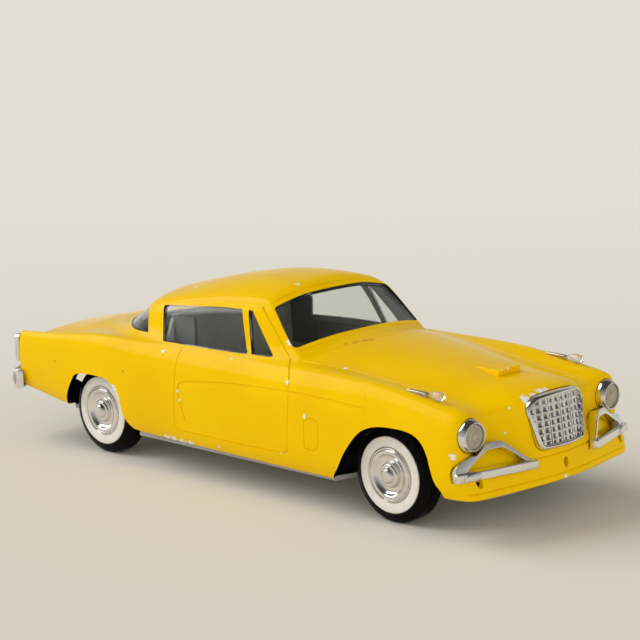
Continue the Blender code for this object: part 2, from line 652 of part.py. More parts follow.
def build_chassis(paints):
    """Plate with a waist at each axle, four ears that carry the axles, and counterbored screw holes."""
    clear = TYRE_RADIUS + 4.0
    top = PLATE_Z + PLATE_THICKNESS
    full = PLATE_HALF_WIDTH
    waist = PLATE_WAIST
    slant = 2.5
    edge = [
        (rear(-30), 14.0), (rear(-27), 21.0), (rear(-clear), waist), (rear(clear - 2), waist),
        (rear(clear - 2 + slant), full), (front(-clear - slant), full), (front(-clear), waist),
        (front(clear), waist), (front(24.6), 20.0), (front(26.4), 12.0),
    ]
    outline = edge + [(x, -y) for x, y in reversed(edge)]
    plate = prism("chassis_plate", outline, PLATE_Z, top, paint=paints["chassis"])
    for axle, axle_x in (("front", FRONT_AXLE_X), ("rear", REAR_AXLE_X)):
        half = EAR_HALF_LENGTH
        ear_top = AXLE_Z + EAR_RISE
        shape = [(axle_x - half, top - 0.5), (axle_x + half, top - 0.5), (axle_x + half * 0.7, ear_top),
                 (axle_x - half * 0.7, ear_top)]
        for hand, side in (("left", 1), ("right", -1)):
            inner = -side * EAR_Y - EAR_THICKNESS / 2
            ear = prism("ear_" + axle + "_" + hand, shape, inner, inner + EAR_THICKNESS, ACROSS)
            combine(plate, ear, "UNION")
        bearing = axis_frame((axle_x, -EAR_Y - EAR_THICKNESS * 2, AXLE_Z), (0, 1, 0))
        radius = AXLE_RADIUS + RUNNING_GAP
        reach = 2 * EAR_Y + EAR_THICKNESS * 4
        hole = [(0.0, 0.0), (radius, 0.0), (radius, reach), (0.0, reach)]
        combine(plate, turned("bearing_" + axle, hole, bearing, 16, closed=False), "DIFFERENCE")
    wing_top = WING_Z + WING_HEIGHT
    slope = [(rear(-clear), WING_Z), (rear(-clear), wing_top), (rear(-28), wing_top + WING_KICK),
             (rear(-28), WING_Z + WING_KICK)]
    step = [(rear(-27), PLATE_Z), (rear(-clear), PLATE_Z)] + slope[1:]
    for hand, side in (("left", 1), ("right", -1)):
        root = -side * WING_ROOT_Y
        spread = sorted([root, -side * WING_HALF_WIDTH])
        wall_spread = sorted([root, root - side * PLATE_THICKNESS])
        wall = prism("wing_wall_" + hand, step, wall_spread[0], wall_spread[1], ACROSS)
        combine(wall, prism("wing_" + hand, slope, spread[0], spread[1], ACROSS), "UNION")
        combine(plate, wall, "UNION")
    for place, x, y in screw_places():
        bore = SCREW_RADIUS + SEAT_GAP
        head = SCREW_HEAD_RADIUS + SEAT_GAP
        floor = SCREW_HEAD_DEPTH + SEAT_GAP / 3
        well = [(0.0, -1.0), (head, -1.0), (head, floor), (bore, floor), (bore, PLATE_THICKNESS + 1.0),
                (0.0, PLATE_THICKNESS + 1.0)]
        frame = axis_frame((x, y, PLATE_Z), (0, 0, 1), (1, 0, 0))
        combine(plate, turned("screw_hole_" + place, well, frame, 12, closed=False), "DIFFERENCE")
        low = 0.05
        screw = [
            (0.0, low), (SCREW_HEAD_RADIUS, low), (SCREW_HEAD_RADIUS, SCREW_HEAD_DEPTH),
            (SCREW_RADIUS, SCREW_HEAD_DEPTH), (SCREW_RADIUS, SCREW_LENGTH), (0.0, SCREW_LENGTH + 0.8),
        ]
        turned("screw_" + place, screw, frame, 12, paints["steel"], closed=False)


def grille_frame_matrix():
    slope = Vector((GRILLE_TOP_X - GRILLE_BOTTOM_X, 0, GRILLE_TOP_Z - GRILLE_BOTTOM_Z)).normalized()
    ahead = Vector((0, 1, 0)).cross(slope)
    return axis_frame((GRILLE_BOTTOM_X, 0, GRILLE_BOTTOM_Z), ahead, (0, 1, 0))


def grille_outline(margin):
    """Outline of the grille: arched above and below, with points along its sides so that it can bow."""
    height = math.hypot(GRILLE_TOP_X - GRILLE_BOTTOM_X, GRILLE_TOP_Z - GRILLE_BOTTOM_Z)
    half = [
        (GRILLE_BOTTOM_HALF + margin, -margin), (GRILLE_TOP_HALF + margin, height - 2.2 + margin),
        (GRILLE_TOP_HALF - 4.0, height + margin),
    ]
    arc = 2
    spans = 4
    corners = rounded(mirrored(half), GRILLE_CORNER + margin, arc)
    outline = []
    for n, point in enumerate(corners):
        outline.append(point)
        if n % (arc + 1) == arc:
            after = corners[(n + 1) % len(corners)]
            outline += [tuple(Vector(point).lerp(Vector(after), k / spans)) for k in range(1, spans)]
    arched = []
    for u, v in outline:
        share = v / height
        lift = GRILLE_CROWN * share - GRILLE_SAG * (1 - share)
        arched.append((u, v + lift * (1 - (u / GRILLE_TOP_HALF) ** 2)))
    return arched


def grille_bow(u):
    """How far the grille stands forward of its flat back at a place across the car."""
    return GRILLE_BOW * (1 - (u / GRILLE_TOP_HALF) ** 2)


def build_grille_frame(frame, paints):
    """Rim as a ring of quads: outer and inner outline, front and back."""
    bm = bmesh.new()
    loops = []
    back = -GRILLE_DEPTH
    for margin, w in ((0.0, back), (0.0, GRILLE_LIP), (-GRILLE_RIM, GRILLE_LIP), (-GRILLE_RIM, back)):
        places = [frame @ Vector((u, v, w + grille_bow(u))) for u, v in grille_outline(margin)]
        loops.append([bm.verts.new(place) for place in places])
    for n in range(len(loops)):
        one = loops[n - 1]
        two = loops[n]
        for k in range(len(one)):
            bm.faces.new((one[k - 1], one[k], two[k], two[k - 1]))
    add_object("grille_frame", bm, paints["chrome"])


def build_grille_mesh(frame, paints):
    """Bowed plate that fills the rim, made of upright strips."""
    outline = grille_outline(-GRILLE_RIM - SEAT_GAP)
    reach = max(u for u, v in outline)
    strips = 12
    bm = bmesh.new()
    sections = []
    for k in range(strips + 1):
        u = reach * (2 * k / strips - 1) * 0.999
        crossed = []
        for (ua, va), (ub, vb) in zip(outline, outline[1:] + outline[:1]):
            if (ua <= u) != (ub <= u):
                crossed.append(va + (vb - va) * (u - ua) / (ub - ua))
        low = min(crossed)
        high = max(crossed)
        back = grille_bow(u) - GRILLE_DEPTH
        face = grille_bow(u) - MESH_DEPTH
        places = ((u, low, back), (u, low, face), (u, high, face), (u, high, back))
        sections.append([bm.verts.new(frame @ Vector(place)) for place in places])
    for one, two in zip(sections, sections[1:]):
        for n in range(4):
            bm.faces.new((one[n - 1], one[n], two[n], two[n - 1]))
    bm.faces.new(sections[0])
    bm.faces.new(sections[-1])
    add_object("grille_mesh", bm, paints["mesh"])


def build_grille(shell, paints):
    frame = grille_frame_matrix()
    pocket = prism("grille_pocket", grille_outline(SEAT_GAP), -GRILLE_DEPTH - SEAT_GAP, CUT_REACH, frame)
    combine(shell, pocket, "DIFFERENCE")
    build_grille_frame(frame, paints)
    build_grille_mesh(frame, paints)


def headlamp_frame(side):
    return axis_frame((HEADLAMP_X, side * HEADLAMP_Y, HEADLAMP_Z), (1, side * 0.06, 0))


def build_headlamp(hand, side, shell, paints):
    """Plated cup with a stem in the fender, and a ringed lens in the cup."""
    frame = headlamp_frame(side)
    socket_radius = HEADLAMP_RADIUS + SEAT_GAP
    floor = -HEADLAMP_DEPTH - SEAT_GAP
    socket = [(0.0, floor), (socket_radius, floor), (socket_radius, CUT_REACH), (0.0, CUT_REACH)]
    combine(shell, turned("headlamp_socket_" + hand, socket, frame, 24, closed=False), "DIFFERENCE")
    rim = LENS_RADIUS + SEAT_GAP
    cup = [
        (0.0, -HEADLAMP_DEPTH), (HEADLAMP_RADIUS, -HEADLAMP_DEPTH), (HEADLAMP_RADIUS, -HEADLAMP_FLARE),
        (rim + LENS_RIM, HEADLAMP_LIP), (rim, HEADLAMP_LIP), (rim, -LENS_SEAT), (0.0, -LENS_SEAT),
    ]
    turned("headlamp_bezel_" + hand, cup, frame, 24, paints["chrome"], closed=False)
    back = SEAT_GAP - LENS_SEAT
    edge = LENS_DOME - 0.9
    lens = [(0.0, back), (LENS_RADIUS, back), (LENS_RADIUS, edge), (LENS_RADIUS - 1.5, LENS_DOME - 0.3),
            (0.0, LENS_DOME)]
    turned("headlamp_lens_" + hand, lens, frame, 24, paints["lens"], closed=False)


def peg(thing, shell, name, place, direction):
    """Round peg on a trim piece, and the hole for it in the shell."""
    frame = axis_frame(place, direction, (0, 1, 0))
    start = -0.6
    pin = [(0.0, start), (PEG_RADIUS, start), (PEG_RADIUS, PEG_LENGTH), (0.0, PEG_LENGTH)]
    combine(thing, turned("peg_" + name, pin, frame, 8, closed=False), "UNION")
    radius = PEG_RADIUS + SEAT_GAP
    reach = PEG_LENGTH + 1.0
    hole = [(0.0, -PEG_LENGTH), (radius, -PEG_LENGTH), (radius, reach), (0.0, reach)]
    combine(shell, turned("hole_" + name, hole, frame, 10, closed=False), "DIFFERENCE")


def build_side_grille(hand, side, shell, paints):
    """Plated frame beside the grille: a flat lower bar under an arch that leans back, notched for the lamp."""
    inner = Vector((NOSE_X - 0.6, side * SIDE_GRILLE_INNER_Y, SIDE_GRILLE_Z))
    low = SIDE_GRILLE_Z - SIDE_GRILLE_DROOP
    outer = Vector((NOSE_X - SIDE_GRILLE_SWEEP, side * SIDE_GRILLE_OUTER_Y, low))
    run = outer - inner
    ahead = Vector((abs(run.y), side * abs(run.x), 0)).normalized()
    frame = axis_frame(inner, ahead + Vector((0, 0, SIDE_GRILLE_LEAN)), run)
    length = run.length
    turn = side
    high = SIDE_GRILLE_RISE
    arch = [(0.0, 0.6), (length, 0.6), (length * 0.98, 3.8), (length * 0.89, 5.0), (length * 0.775, 6.3),
            (length * 0.625, high - 0.7), (length * 0.55, high), (length * 0.41, high),
            (length * 0.34, high - 0.6), (length * 0.115, 3.8), (1.2, 2.8)]
    hole = [(length * 0.15, 2.6), (length * 0.8, 2.6), (length * 0.79, 3.2), (length * 0.68, 4.9),
            (length * 0.5, high - 1.9), (length * 0.41, high - 2.0)]
    loop = prism("side_grille_" + hand, rounded([(u, v * turn) for u, v in arch], 0.5, 2),
                 -SIDE_GRILLE_DEPTH, 0.0, frame, paints["chrome"])
    window = prism("side_grille_window_" + hand, rounded([(u, v * turn) for u, v in hole], 0.3, 2),
                   -FAR, FAR, frame)
    combine(loop, window, "DIFFERENCE")
    upright = axis_frame(inner, ahead, run)
    bar = [(-0.2, 0.0), (length + 0.4, 0.0), (length + 0.4, SIDE_GRILLE_BAR), (-0.2, SIDE_GRILLE_BAR)]
    back = -SIDE_GRILLE_BAR_DEPTH
    bar_outline = [(u, v * turn) for u, v in bar]
    lower = prism("side_grille_bar_" + hand, bar_outline, back, SIDE_GRILLE_BAR_LIP, upright)
    combine(loop, lower, "UNION")
    reach = HEADLAMP_RADIUS + 2 * SEAT_GAP
    tip = HEADLAMP_LIP + 2 * SEAT_GAP
    notch = [(0.0, -FAR), (reach, -FAR), (reach, tip), (0.0, tip)]
    combine(loop, turned("lamp_notch_" + hand, notch, headlamp_frame(side), 24, closed=False), "DIFFERENCE")
    margin = SEAT_GAP * 1.5
    bar_seat = [(u, v * turn) for u, v in grown(bar, margin)]
    seat = prism("side_grille_bar_seat_" + hand, bar_seat, back - SEAT_GAP, CUT_REACH, upright)
    combine(shell, seat, "DIFFERENCE")
    arch_seat = [(u, v * turn) for u, v in grown(arch, margin)]
    seat = prism("side_grille_seat_" + hand, arch_seat, -SIDE_GRILLE_DEPTH - SEAT_GAP, CUT_REACH, frame)
    combine(shell, seat, "DIFFERENCE")
    for end, share in (("inner", 0.2), ("outer", 0.8)):
        place = inner + run * share + ahead * back + Vector((0, 0, SIDE_GRILLE_BAR / 2))
        peg(loop, shell, "side_grille_" + hand + "_" + end, place, -ahead)


def build_fender_lamp(hand, side, shell, paints):
    """Plated stem on the fender crown with a clear drop at its front."""
    y = side * SPEAR_Y
    back = SPEAR_FRONT_X - SPEAR_LENGTH
    reach = SPEAR_LENGTH - DROP_LENGTH - SEAT_GAP
    fall = CROWN_SLOPE * reach
    side_view = [(back, SPEAR_Z), (back + reach, SPEAR_Z - fall), (back + reach, SPEAR_Z - fall + 1.5),
                 (back + reach * 0.5, SPEAR_Z - fall / 2 + 1.2), (back, SPEAR_Z + 0.5)]
    stem = prism("fender_lamp_stem_" + hand, side_view, -y - 1.0, -y + 1.0, ACROSS, paints["chrome"])
    peg(stem, shell, "fender_lamp_" + hand, (back + reach * 0.6, y, SPEAR_Z - fall * 0.6), (0, 0, -1))
    thick = DROP_RADIUS
    drop = [(0.0, 0.0), (thick * 0.6, 0.4), (thick, 1.6), (thick, DROP_LENGTH - 2.8),
            (thick * 0.6, DROP_LENGTH - 0.8), (0.0, DROP_LENGTH)]
    tip_z = SPEAR_Z - CROWN_SLOPE * SPEAR_LENGTH + DROP_RADIUS
    frame = axis_frame((SPEAR_FRONT_X, y, tip_z), (-1, 0, CROWN_SLOPE))
    turned("fender_lamp_lens_" + hand, drop, frame, 14, paints["clear"], closed=False)


def build_tail_lamp(hand, side, shell, paints):
    """Plated upright rim at the end of the fin, with a red lens in it."""
    fin_end = TAIL_PLAN(TAIL_LAMP_Y - TAIL_LAMP_WIDTH / 2) - SEAT_GAP / 2
    frame = axis_frame((fin_end, side * TAIL_LAMP_Y, TAIL_LAMP_Z), (-1, 0, 0))
    half = TAIL_LAMP_HEIGHT / 2
    wide = TAIL_LAMP_WIDTH / 2
    tall = half - TAIL_LAMP_RIM
    narrow = wide - TAIL_LAMP_RIM
    box = [(-half, -wide), (half, -wide), (half, wide), (-half, wide)]
    inside = [(-tall, -narrow), (tall, -narrow), (tall, narrow), (-tall, narrow)]
    bezel = prism("tail_lamp_bezel_" + hand, rounded(box, 1.4, 2), 0.0, TAIL_LAMP_DEPTH, frame,
                  paints["chrome"])
    pocket = prism("tail_lamp_pocket_" + hand, rounded(inside, 0.9, 2), TAIL_LAMP_FLOOR, CUT_REACH, frame)
    combine(bezel, pocket, "DIFFERENCE")
    peg(bezel, shell, "tail_lamp_" + hand, (fin_end, side * TAIL_LAMP_Y, TAIL_LAMP_Z), (1, 0, 0))
    tall -= SEAT_GAP
    narrow -= SEAT_GAP
    lens = [(-tall, -narrow), (tall, -narrow), (tall, narrow), (-tall, narrow)]
    back = TAIL_LAMP_FLOOR + SEAT_GAP / 2
    pane = prism("tail_lamp_lens_" + hand, rounded(lens, 0.5, 2), back, TAIL_LAMP_DEPTH + 0.5, frame,
                 paints["red"])
    chamfer(pane, 0.3)


def build_rear_bumper(shell, paints):
    """Plated bar across the tail with ends that wrap round the corners."""
    outer = [(TAIL_X, 0.0), (TAIL_X + 0.5, 20.0), (TAIL_X + 1.6, W - 6.6), (TAIL_X + 3.4, W - 1.4),
             (TAIL_X + 7.0, W + 0.4)]
    inner = [(TAIL_PLAN(y) - SEAT_GAP, y) for y in (0.0, 20.0, W - 7.6, W - 1.8)] + [(TAIL_X + 9.0, W - 0.8)]
    outline = outer[::-1] + [(x, -y) for x, y in outer[1:]]
    outline += [(x, -y) for x, y in inner[:0:-1]] + inner
    bar = prism("rear_bumper", outline, BUMPER_Z, BUMPER_Z + BUMPER_HEIGHT, paint=paints["chrome"])
    chamfer(bar, 0.7, 2)
    for hand, side in (("left", 1), ("right", -1)):
        radius = BUMPER_GUARD_RADIUS
        middle = BUMPER_Z + BUMPER_HEIGHT / 2
        tip = BUMPER_GUARD_LENGTH
        bullet = [(0.0, 0.0), (radius, 0.0), (radius, tip * 0.2), (radius * 0.87, tip * 0.6),
                  (radius * 0.5, tip * 0.9), (0.0, tip)]
        root = axis_frame((TAIL_X + 4.4, side * BUMPER_GUARD_Y, middle), (-1, 0, 0))
        guard = turned("bumper_guard_" + hand, bullet, root, 16, closed=False)
        combine(bar, guard, "UNION")
        place = (TAIL_PLAN(BUMPER_PEG_Y) - SEAT_GAP, side * BUMPER_PEG_Y, BUMPER_Z + BUMPER_HEIGHT / 2)
        peg(bar, shell, "rear_bumper_" + hand, place, (1, 0, 0))


def add_scoop(shell):
    """Low wedge on the hood that opens to the front."""
    bm = bmesh.new()
    nose = SCOOP_FRONT_X
    tail = SCOOP_FRONT_X - SCOOP_LENGTH
    corners = []
    for x, half, low, high in ((tail, 2.6, 36.0, SCOOP_TAIL_Z), (nose, 5.4, 35.0, SCOOP_FRONT_Z)):
        corners.append([bm.verts.new(place) for place in
                        ((x, -half, low), (x, half, low), (x, half - 0.5, high), (x, -half + 0.5, high))])
    first, last = corners
    bm.faces.new(first)
    bm.faces.new(last)
    for n in range(4):
        bm.faces.new((first[n], first[n - 1], last[n - 1], last[n]))
    combine(shell, add_object("hood_scoop", bm), "UNION")


def add_posts(shell):
    """Four screw posts under the shell, each up to the middle of its wall."""
    foot = PLATE_Z + PLATE_THICKNESS + SEAT_GAP
    limit = lower_body("post_limit", WALL / 2)
    for place, x, y in screw_places():
        frame = axis_frame((x, y, foot), (0, 0, 1), (1, 0, 0))
        column = [(0.0, 0.0), (POST_RADIUS, 0.0), (POST_RADIUS, FAR), (0.0, FAR)]
        post = turned("post_" + place, column, frame, 12, closed=False)
        combine(post, limit, "INTERSECT")
        combine(shell, post, "UNION")
        radius = SCREW_RADIUS + SEAT_GAP / 2
        reach = SCREW_LENGTH
        bore = [(0.0, -1.0), (radius, -1.0), (radius, reach), (0.0, reach)]
        combine(shell, turned("post_bore_" + place, bore, frame, 12, closed=False), "DIFFERENCE")


def build_glass(name, opening, paints):
    """Clear piece behind an opening of the cabin, a little larger than the opening."""
    pane = greenhouse(name, WALL + SEAT_GAP)
    pane.hide_render = False
    pane.display_type = "TEXTURED"
    pane.data.materials.append(paints["glass"])
    combine(pane, opening, "INTERSECT")
    combine(pane, greenhouse(name + "_inside", WALL + SEAT_GAP + GLASS), "DIFFERENCE")


def build_windows(shell, paints):
    combine(shell, windscreen_cutter("windscreen_opening"), "DIFFERENCE")
    combine(shell, window_cutter("main_window_opening", MAIN_WINDOW), "DIFFERENCE")
    combine(shell, window_cutter("vent_opening", VENT_WINDOW, radius=VENT_CORNER), "DIFFERENCE")
    combine(shell, window_cutter("backlight_opening", BACKLIGHT_CUT), "DIFFERENCE")
    build_glass("windscreen", windscreen_cutter("windscreen_outline", GLASS_MARGIN / 3), paints)
    build_glass("rear_window", window_cutter("rear_window_outline", BACKLIGHT_CUT, GLASS_MARGIN), paints)
    sides = [MAIN_WINDOW[0], VENT_WINDOW[1], VENT_WINDOW[2]] + MAIN_WINDOW[3:]
    near = BODY_HALF_WIDTH / 3
    for hand, start, end in (("left", -FAR, -near), ("right", near, FAR)):
        cutter = prism("side_glass_outline_" + hand, rounded(grown(sides, GLASS_MARGIN), WINDOW_CORNER),
                       start, end, ACROSS)
        build_glass("side_glass_" + hand, cutter, paints)


def build_shell(paints):
    shell = lower_body("body_shell")
    shell.hide_render = False
    shell.display_type = "TEXTURED"
    shell.data.materials.append(paints["yellow"])
    combine(shell, greenhouse("cabin_outer"), "UNION")
    add_scoop(shell)
    combine(shell, lower_body("lower_cavity", WALL, 9.0, 2), "DIFFERENCE")
    combine(shell, apron_cavity(), "DIFFERENCE")
    combine(shell, greenhouse("cabin_cavity", WALL), "DIFFERENCE")
    combine(shell, arch_cutter("front_arch", FRONT_AXLE_X, FRONT_ARCH), "DIFFERENCE")
    combine(shell, arch_cutter("rear_arch", REAR_AXLE_X, REAR_ARCH), "DIFFERENCE")
    add_posts(shell)
    for name, y in (("middle", 0.0), ("left", BUMPER_HOLE_Y), ("right", -BUMPER_HOLE_Y)):
        frame = axis_frame((APRON_PLAN(abs(y)), y, BUMPER_HOLE_Z), (-1, 0, 0))
        radius = BUMPER_HOLE_RADIUS
        hole = [(0.0, -CUT_REACH), (radius, -CUT_REACH), (radius, CUT_REACH), (0.0, CUT_REACH)]
        combine(shell, turned("bumper_hole_" + name, hole, frame, 10, closed=False), "DIFFERENCE")
    return shell


def main():
    remove_everything()
    paints = {
        "yellow": material("yellow_paint", (0.83, 0.5, 0.01), 0.18),
        "chrome": material("chrome", (0.83, 0.82, 0.8), 0.14, 1.0),
        "mesh": material("worn_chrome", (0.6, 0.58, 0.55), 0.3, 1.0),
        "glass": material("clear_plastic", (0.9, 0.93, 0.93), 0.05, 0.0, 0.9),
        "lens": material("cream_lens", (0.78, 0.72, 0.6), 0.2),
        "clear": material("lamp_plastic", (0.85, 0.82, 0.76), 0.1, 0.0, 0.5),
        "red": material("red_lens", (0.45, 0.02, 0.02), 0.15),
        "tyre": material("black_rubber", (0.02, 0.02, 0.02), 0.6),
        "whitewall": material("white_rubber", (0.75, 0.72, 0.64), 0.5),
        "hub": material("black_plastic", (0.03, 0.03, 0.03), 0.5),
        "steel": material("steel", (0.5, 0.5, 0.5), 0.35, 1.0),
        "chassis": material("grey_plastic", (0.45, 0.45, 0.43), 0.45),
    }
    shell = build_shell(paints)
    build_windows(shell, paints)
    build_grille(shell, paints)
    build_rear_bumper(shell, paints)
    for hand, side in (("left", 1), ("right", -1)):
        build_side_grille(hand, side, shell, paints)
        build_headlamp(hand, side, shell, paints)
        build_fender_lamp(hand, side, shell, paints)
        build_tail_lamp(hand, side, shell, paints)
    build_chassis(paints)
    for place, axle_x in (("front", FRONT_AXLE_X), ("rear", REAR_AXLE_X)):
        pivot = add_pivot(place + "_pivot", (axle_x, 0, AXLE_Z))
        build_axle(place, axle_x, pivot, paints)
        for hand, side in (("left", 1), ("right", -1)):
            build_wheel(place + "_" + hand, axle_x, side, pivot, paints)


main()
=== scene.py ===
"""Looks of the model car: fine pieces, materials, floor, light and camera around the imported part.

The shapes repeat the part's own named sizes, in millimetres, with finer meshes and the small forms
that the solids leave out. A piece becomes metres when it is handed over to its body.
"""
import json
import math

import bmesh
import bpy
from mathutils import Matrix, Vector
from mathutils.bvhtree import BVHTree
from mathutils.interpolate import poly_3d_calc

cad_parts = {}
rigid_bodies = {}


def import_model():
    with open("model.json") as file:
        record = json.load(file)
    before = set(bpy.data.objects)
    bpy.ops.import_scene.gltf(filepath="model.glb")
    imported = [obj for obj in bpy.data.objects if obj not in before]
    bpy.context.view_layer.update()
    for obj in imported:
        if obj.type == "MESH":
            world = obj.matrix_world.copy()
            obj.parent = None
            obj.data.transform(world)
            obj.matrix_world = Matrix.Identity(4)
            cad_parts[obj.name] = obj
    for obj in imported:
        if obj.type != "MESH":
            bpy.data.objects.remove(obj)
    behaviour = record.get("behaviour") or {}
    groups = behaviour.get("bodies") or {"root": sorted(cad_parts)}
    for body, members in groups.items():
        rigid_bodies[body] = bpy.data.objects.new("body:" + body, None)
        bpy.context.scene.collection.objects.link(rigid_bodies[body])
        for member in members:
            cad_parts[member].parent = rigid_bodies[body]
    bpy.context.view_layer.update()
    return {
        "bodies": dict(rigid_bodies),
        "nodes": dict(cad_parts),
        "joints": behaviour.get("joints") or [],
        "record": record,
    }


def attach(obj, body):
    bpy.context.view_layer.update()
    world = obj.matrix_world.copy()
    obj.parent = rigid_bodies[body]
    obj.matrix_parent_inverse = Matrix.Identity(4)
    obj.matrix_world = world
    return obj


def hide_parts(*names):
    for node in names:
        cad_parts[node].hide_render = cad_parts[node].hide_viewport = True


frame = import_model()

MM = 0.001
SHARP_ANGLE = 35

# Overall layout.
WHEELBASE = 122.4
FRONT_OVERHANG = 36.6
REAR_OVERHANG = 43.6
LENGTH = FRONT_OVERHANG + WHEELBASE + REAR_OVERHANG
FRONT_AXLE_X = LENGTH / 2 - FRONT_OVERHANG
REAR_AXLE_X = FRONT_AXLE_X - WHEELBASE
NOSE_X = LENGTH / 2
TAIL_X = -LENGTH / 2

# General clearances, reach of the cutters, and the two sides of the car with the sign of their y.
SEAT_GAP = 0.3
CUT_REACH = 9.0
FAR = 60.0
HANDS = (("left", 1), ("right", -1))

# Shell.
WALL = 1.4
BODY_HALF_WIDTH = 36.6
W = BODY_HALF_WIDTH
BELT_Z = 39.6
ROOF_Z = 58.0
SILL_Z = 10.3
APRON_Z = 12.1
APRON_TOP_Z = 20.2
GLASS = 0.9

# Wheels. Depths are measured inwards from the outer face of the whitewall.
# The solid wheels have flats and stand on one of them, so the round tread has the radius to that flat.
WHEEL_FLATS = 28
TYRE_RADIUS = 13.75
TYRE_WIDTH = 7.0
HUB_RADIUS = 7.7
WHITEWALL_RADIUS = 10.7
WHITEWALL_DEPTH = 0.95
COVER_DEPTH = 1.2
WHEEL_FACE_Y = W - 4.6
AXLE_Z = TYRE_RADIUS * math.cos(math.pi / WHEEL_FLATS)
TREAD_RADIUS = AXLE_Z

# Plated trim.
GRILLE_TOP_Z = 35.9
GRILLE_BOTTOM_Z = 21.6
GRILLE_TOP_HALF = 12.4
GRILLE_BOTTOM_HALF = 9.5
GRILLE_RIM = 1.2
GRILLE_DEPTH = 2.4
GRILLE_CORNER = 2.4
GRILLE_BOW = 2.4
MESH_DEPTH = 0.9
GRILLE_TOP_X = FRONT_AXLE_X + 31.6
GRILLE_BOTTOM_X = FRONT_AXLE_X + 33.6
HEADLAMP_X = FRONT_AXLE_X + 27.7
HEADLAMP_Y = W - 6.9
HEADLAMP_Z = 28.4
HEADLAMP_RADIUS = 4.6
HEADLAMP_DEPTH = 2.8
HEADLAMP_FLARE = 1.2
HEADLAMP_LIP = 0.6
LENS_RADIUS = 3.35
LAMP_REACH = 0.75
LENS_SEAT = 0.8
SIDE_GRILLE_INNER_Y = 13.0
SIDE_GRILLE_OUTER_Y = W
SIDE_GRILLE_SWEEP = 8.0
SIDE_GRILLE_Z = 17.7
SIDE_GRILLE_BAR = 2.4
SIDE_GRILLE_RISE = 9.1
SIDE_GRILLE_DEPTH = 2.8
SIDE_GRILLE_LEAN = 0.34
SIDE_GRILLE_BAR_DEPTH = 2.0
SIDE_GRILLE_BAR_LIP = 0.6
SIDE_GRILLE_DROOP = 0.6
SPEAR_Y = W - 6.7
SPEAR_FRONT_X = FRONT_AXLE_X + 18.8
SPEAR_LENGTH = 13.0
SPEAR_Z = 37.9
CROWN_SLOPE = 0.15
DROP_LENGTH = 5.8
DROP_RADIUS = 1.3
TAIL_LAMP_Y = W - 3.6
TAIL_LAMP_Z = 29.2
TAIL_LAMP_HEIGHT = 9.6
TAIL_LAMP_WIDTH = 3.8
TAIL_LAMP_DEPTH = 1.5
TAIL_LAMP_RIM = 0.7
TAIL_LAMP_FLOOR = 0.6
BUMPER_Z = 16.4
BUMPER_HEIGHT = 6.4
BUMPER_GUARD_Y = W - 3.6
BUMPER_GUARD_RADIUS = 3.7
BUMPER_GUARD_LENGTH = 2.2
BUMPER_HOLE_Z = 16.5
BUMPER_HOLE_Y = W - 6.0
SCOOP_FRONT_X = FRONT_AXLE_X + 16.6
SCOOP_LENGTH = 14.0
SCOOP_FRONT_Z = 39.4
SCOOP_TAIL_Z = 39.7


def add_mesh(name, bm, paint=None):
    """Object from a bmesh, still in millimetres."""
    bmesh.ops.recalc_face_normals(bm, faces=bm.faces)
    mesh = bpy.data.meshes.new(name)
    bm.to_mesh(mesh)
    bm.free()
    thing = bpy.data.objects.new(name, mesh)
    bpy.context.scene.collection.objects.link(thing)
    if paint is not None:
        mesh.materials.append(paint)
    return thing


def settle(thing):
    """Give an object the mesh that its modifiers make, and take the modifiers off."""
    graph = bpy.context.evaluated_depsgraph_get()
    made = bpy.data.meshes.new_from_object(thing.evaluated_get(graph))
    thing.modifiers.clear()
    thing.data = made
    return thing


def combine(thing, others, operation):
    """Join or cut with other solids, which are used up."""
    for other in others:
        step = thing.modifiers.new(other.name, "BOOLEAN")
        step.operation = operation
        step.solver = "MANIFOLD"
        step.material_mode = "TRANSFER"
        step.object = other
    settle(thing)
    for other in others:
        bpy.data.objects.remove(other, do_unlink=True)
    return thing


def subdivide(thing, levels):
    step = thing.modifiers.new("subdivide", "SUBSURF")
    step.levels = levels
    step.render_levels = levels
    return settle(thing)


def soften(thing, width, segments=2, angle=40):
    step = thing.modifiers.new("soften", "BEVEL")
    step.width = width
    step.segments = segments
    step.limit_method = "ANGLE"
    step.angle_limit = math.radians(angle)
    return settle(thing)


def paint_with(thing, paint):
    thing.data.materials.clear()
    thing.data.materials.append(paint)
    return thing


def hand_over(thing, body, nodes, angle=SHARP_ANGLE):
    """Shade a finished piece, scale it to metres and tie it to its body and its solids."""
    thing.data.transform(Matrix.Scale(MM, 4))
    if angle:
        thing.data.shade_smooth()
        thing.data.set_sharp_from_angle(angle=math.radians(angle))
    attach(thing, body)
    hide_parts(*nodes)
    return thing


def smooth_curve(points):
    """Function of x through (x, value) points, with cubic spans that don't overshoot."""
    xs = [point[0] for point in points]
    values = [point[1] for point in points]
    slopes = [(b - a) / (q - p) for a, b, p, q in zip(values, values[1:], xs, xs[1:])]
    tangents = [slopes[0]]
    for before, after in zip(slopes, slopes[1:]):
        same_way = before * after > 0
        tangents.append(2 * before * after / (before + after) if same_way else 0.0)
    tangents.append(slopes[-1])

    def value(x):
        x = min(max(x, xs[0]), xs[-1])
        n = 0
        while n < len(slopes) - 1 and x > xs[n + 1]:
            n += 1
        span = xs[n + 1] - xs[n]
        t = (x - xs[n]) / span
        rise = values[n + 1] - values[n]
        bend_in = tangents[n] * span - rise
        bend_out = rise - tangents[n + 1] * span
        return values[n] + rise * t + t * (1 - t) * (bend_in * (1 - t) + bend_out * t)

    return value


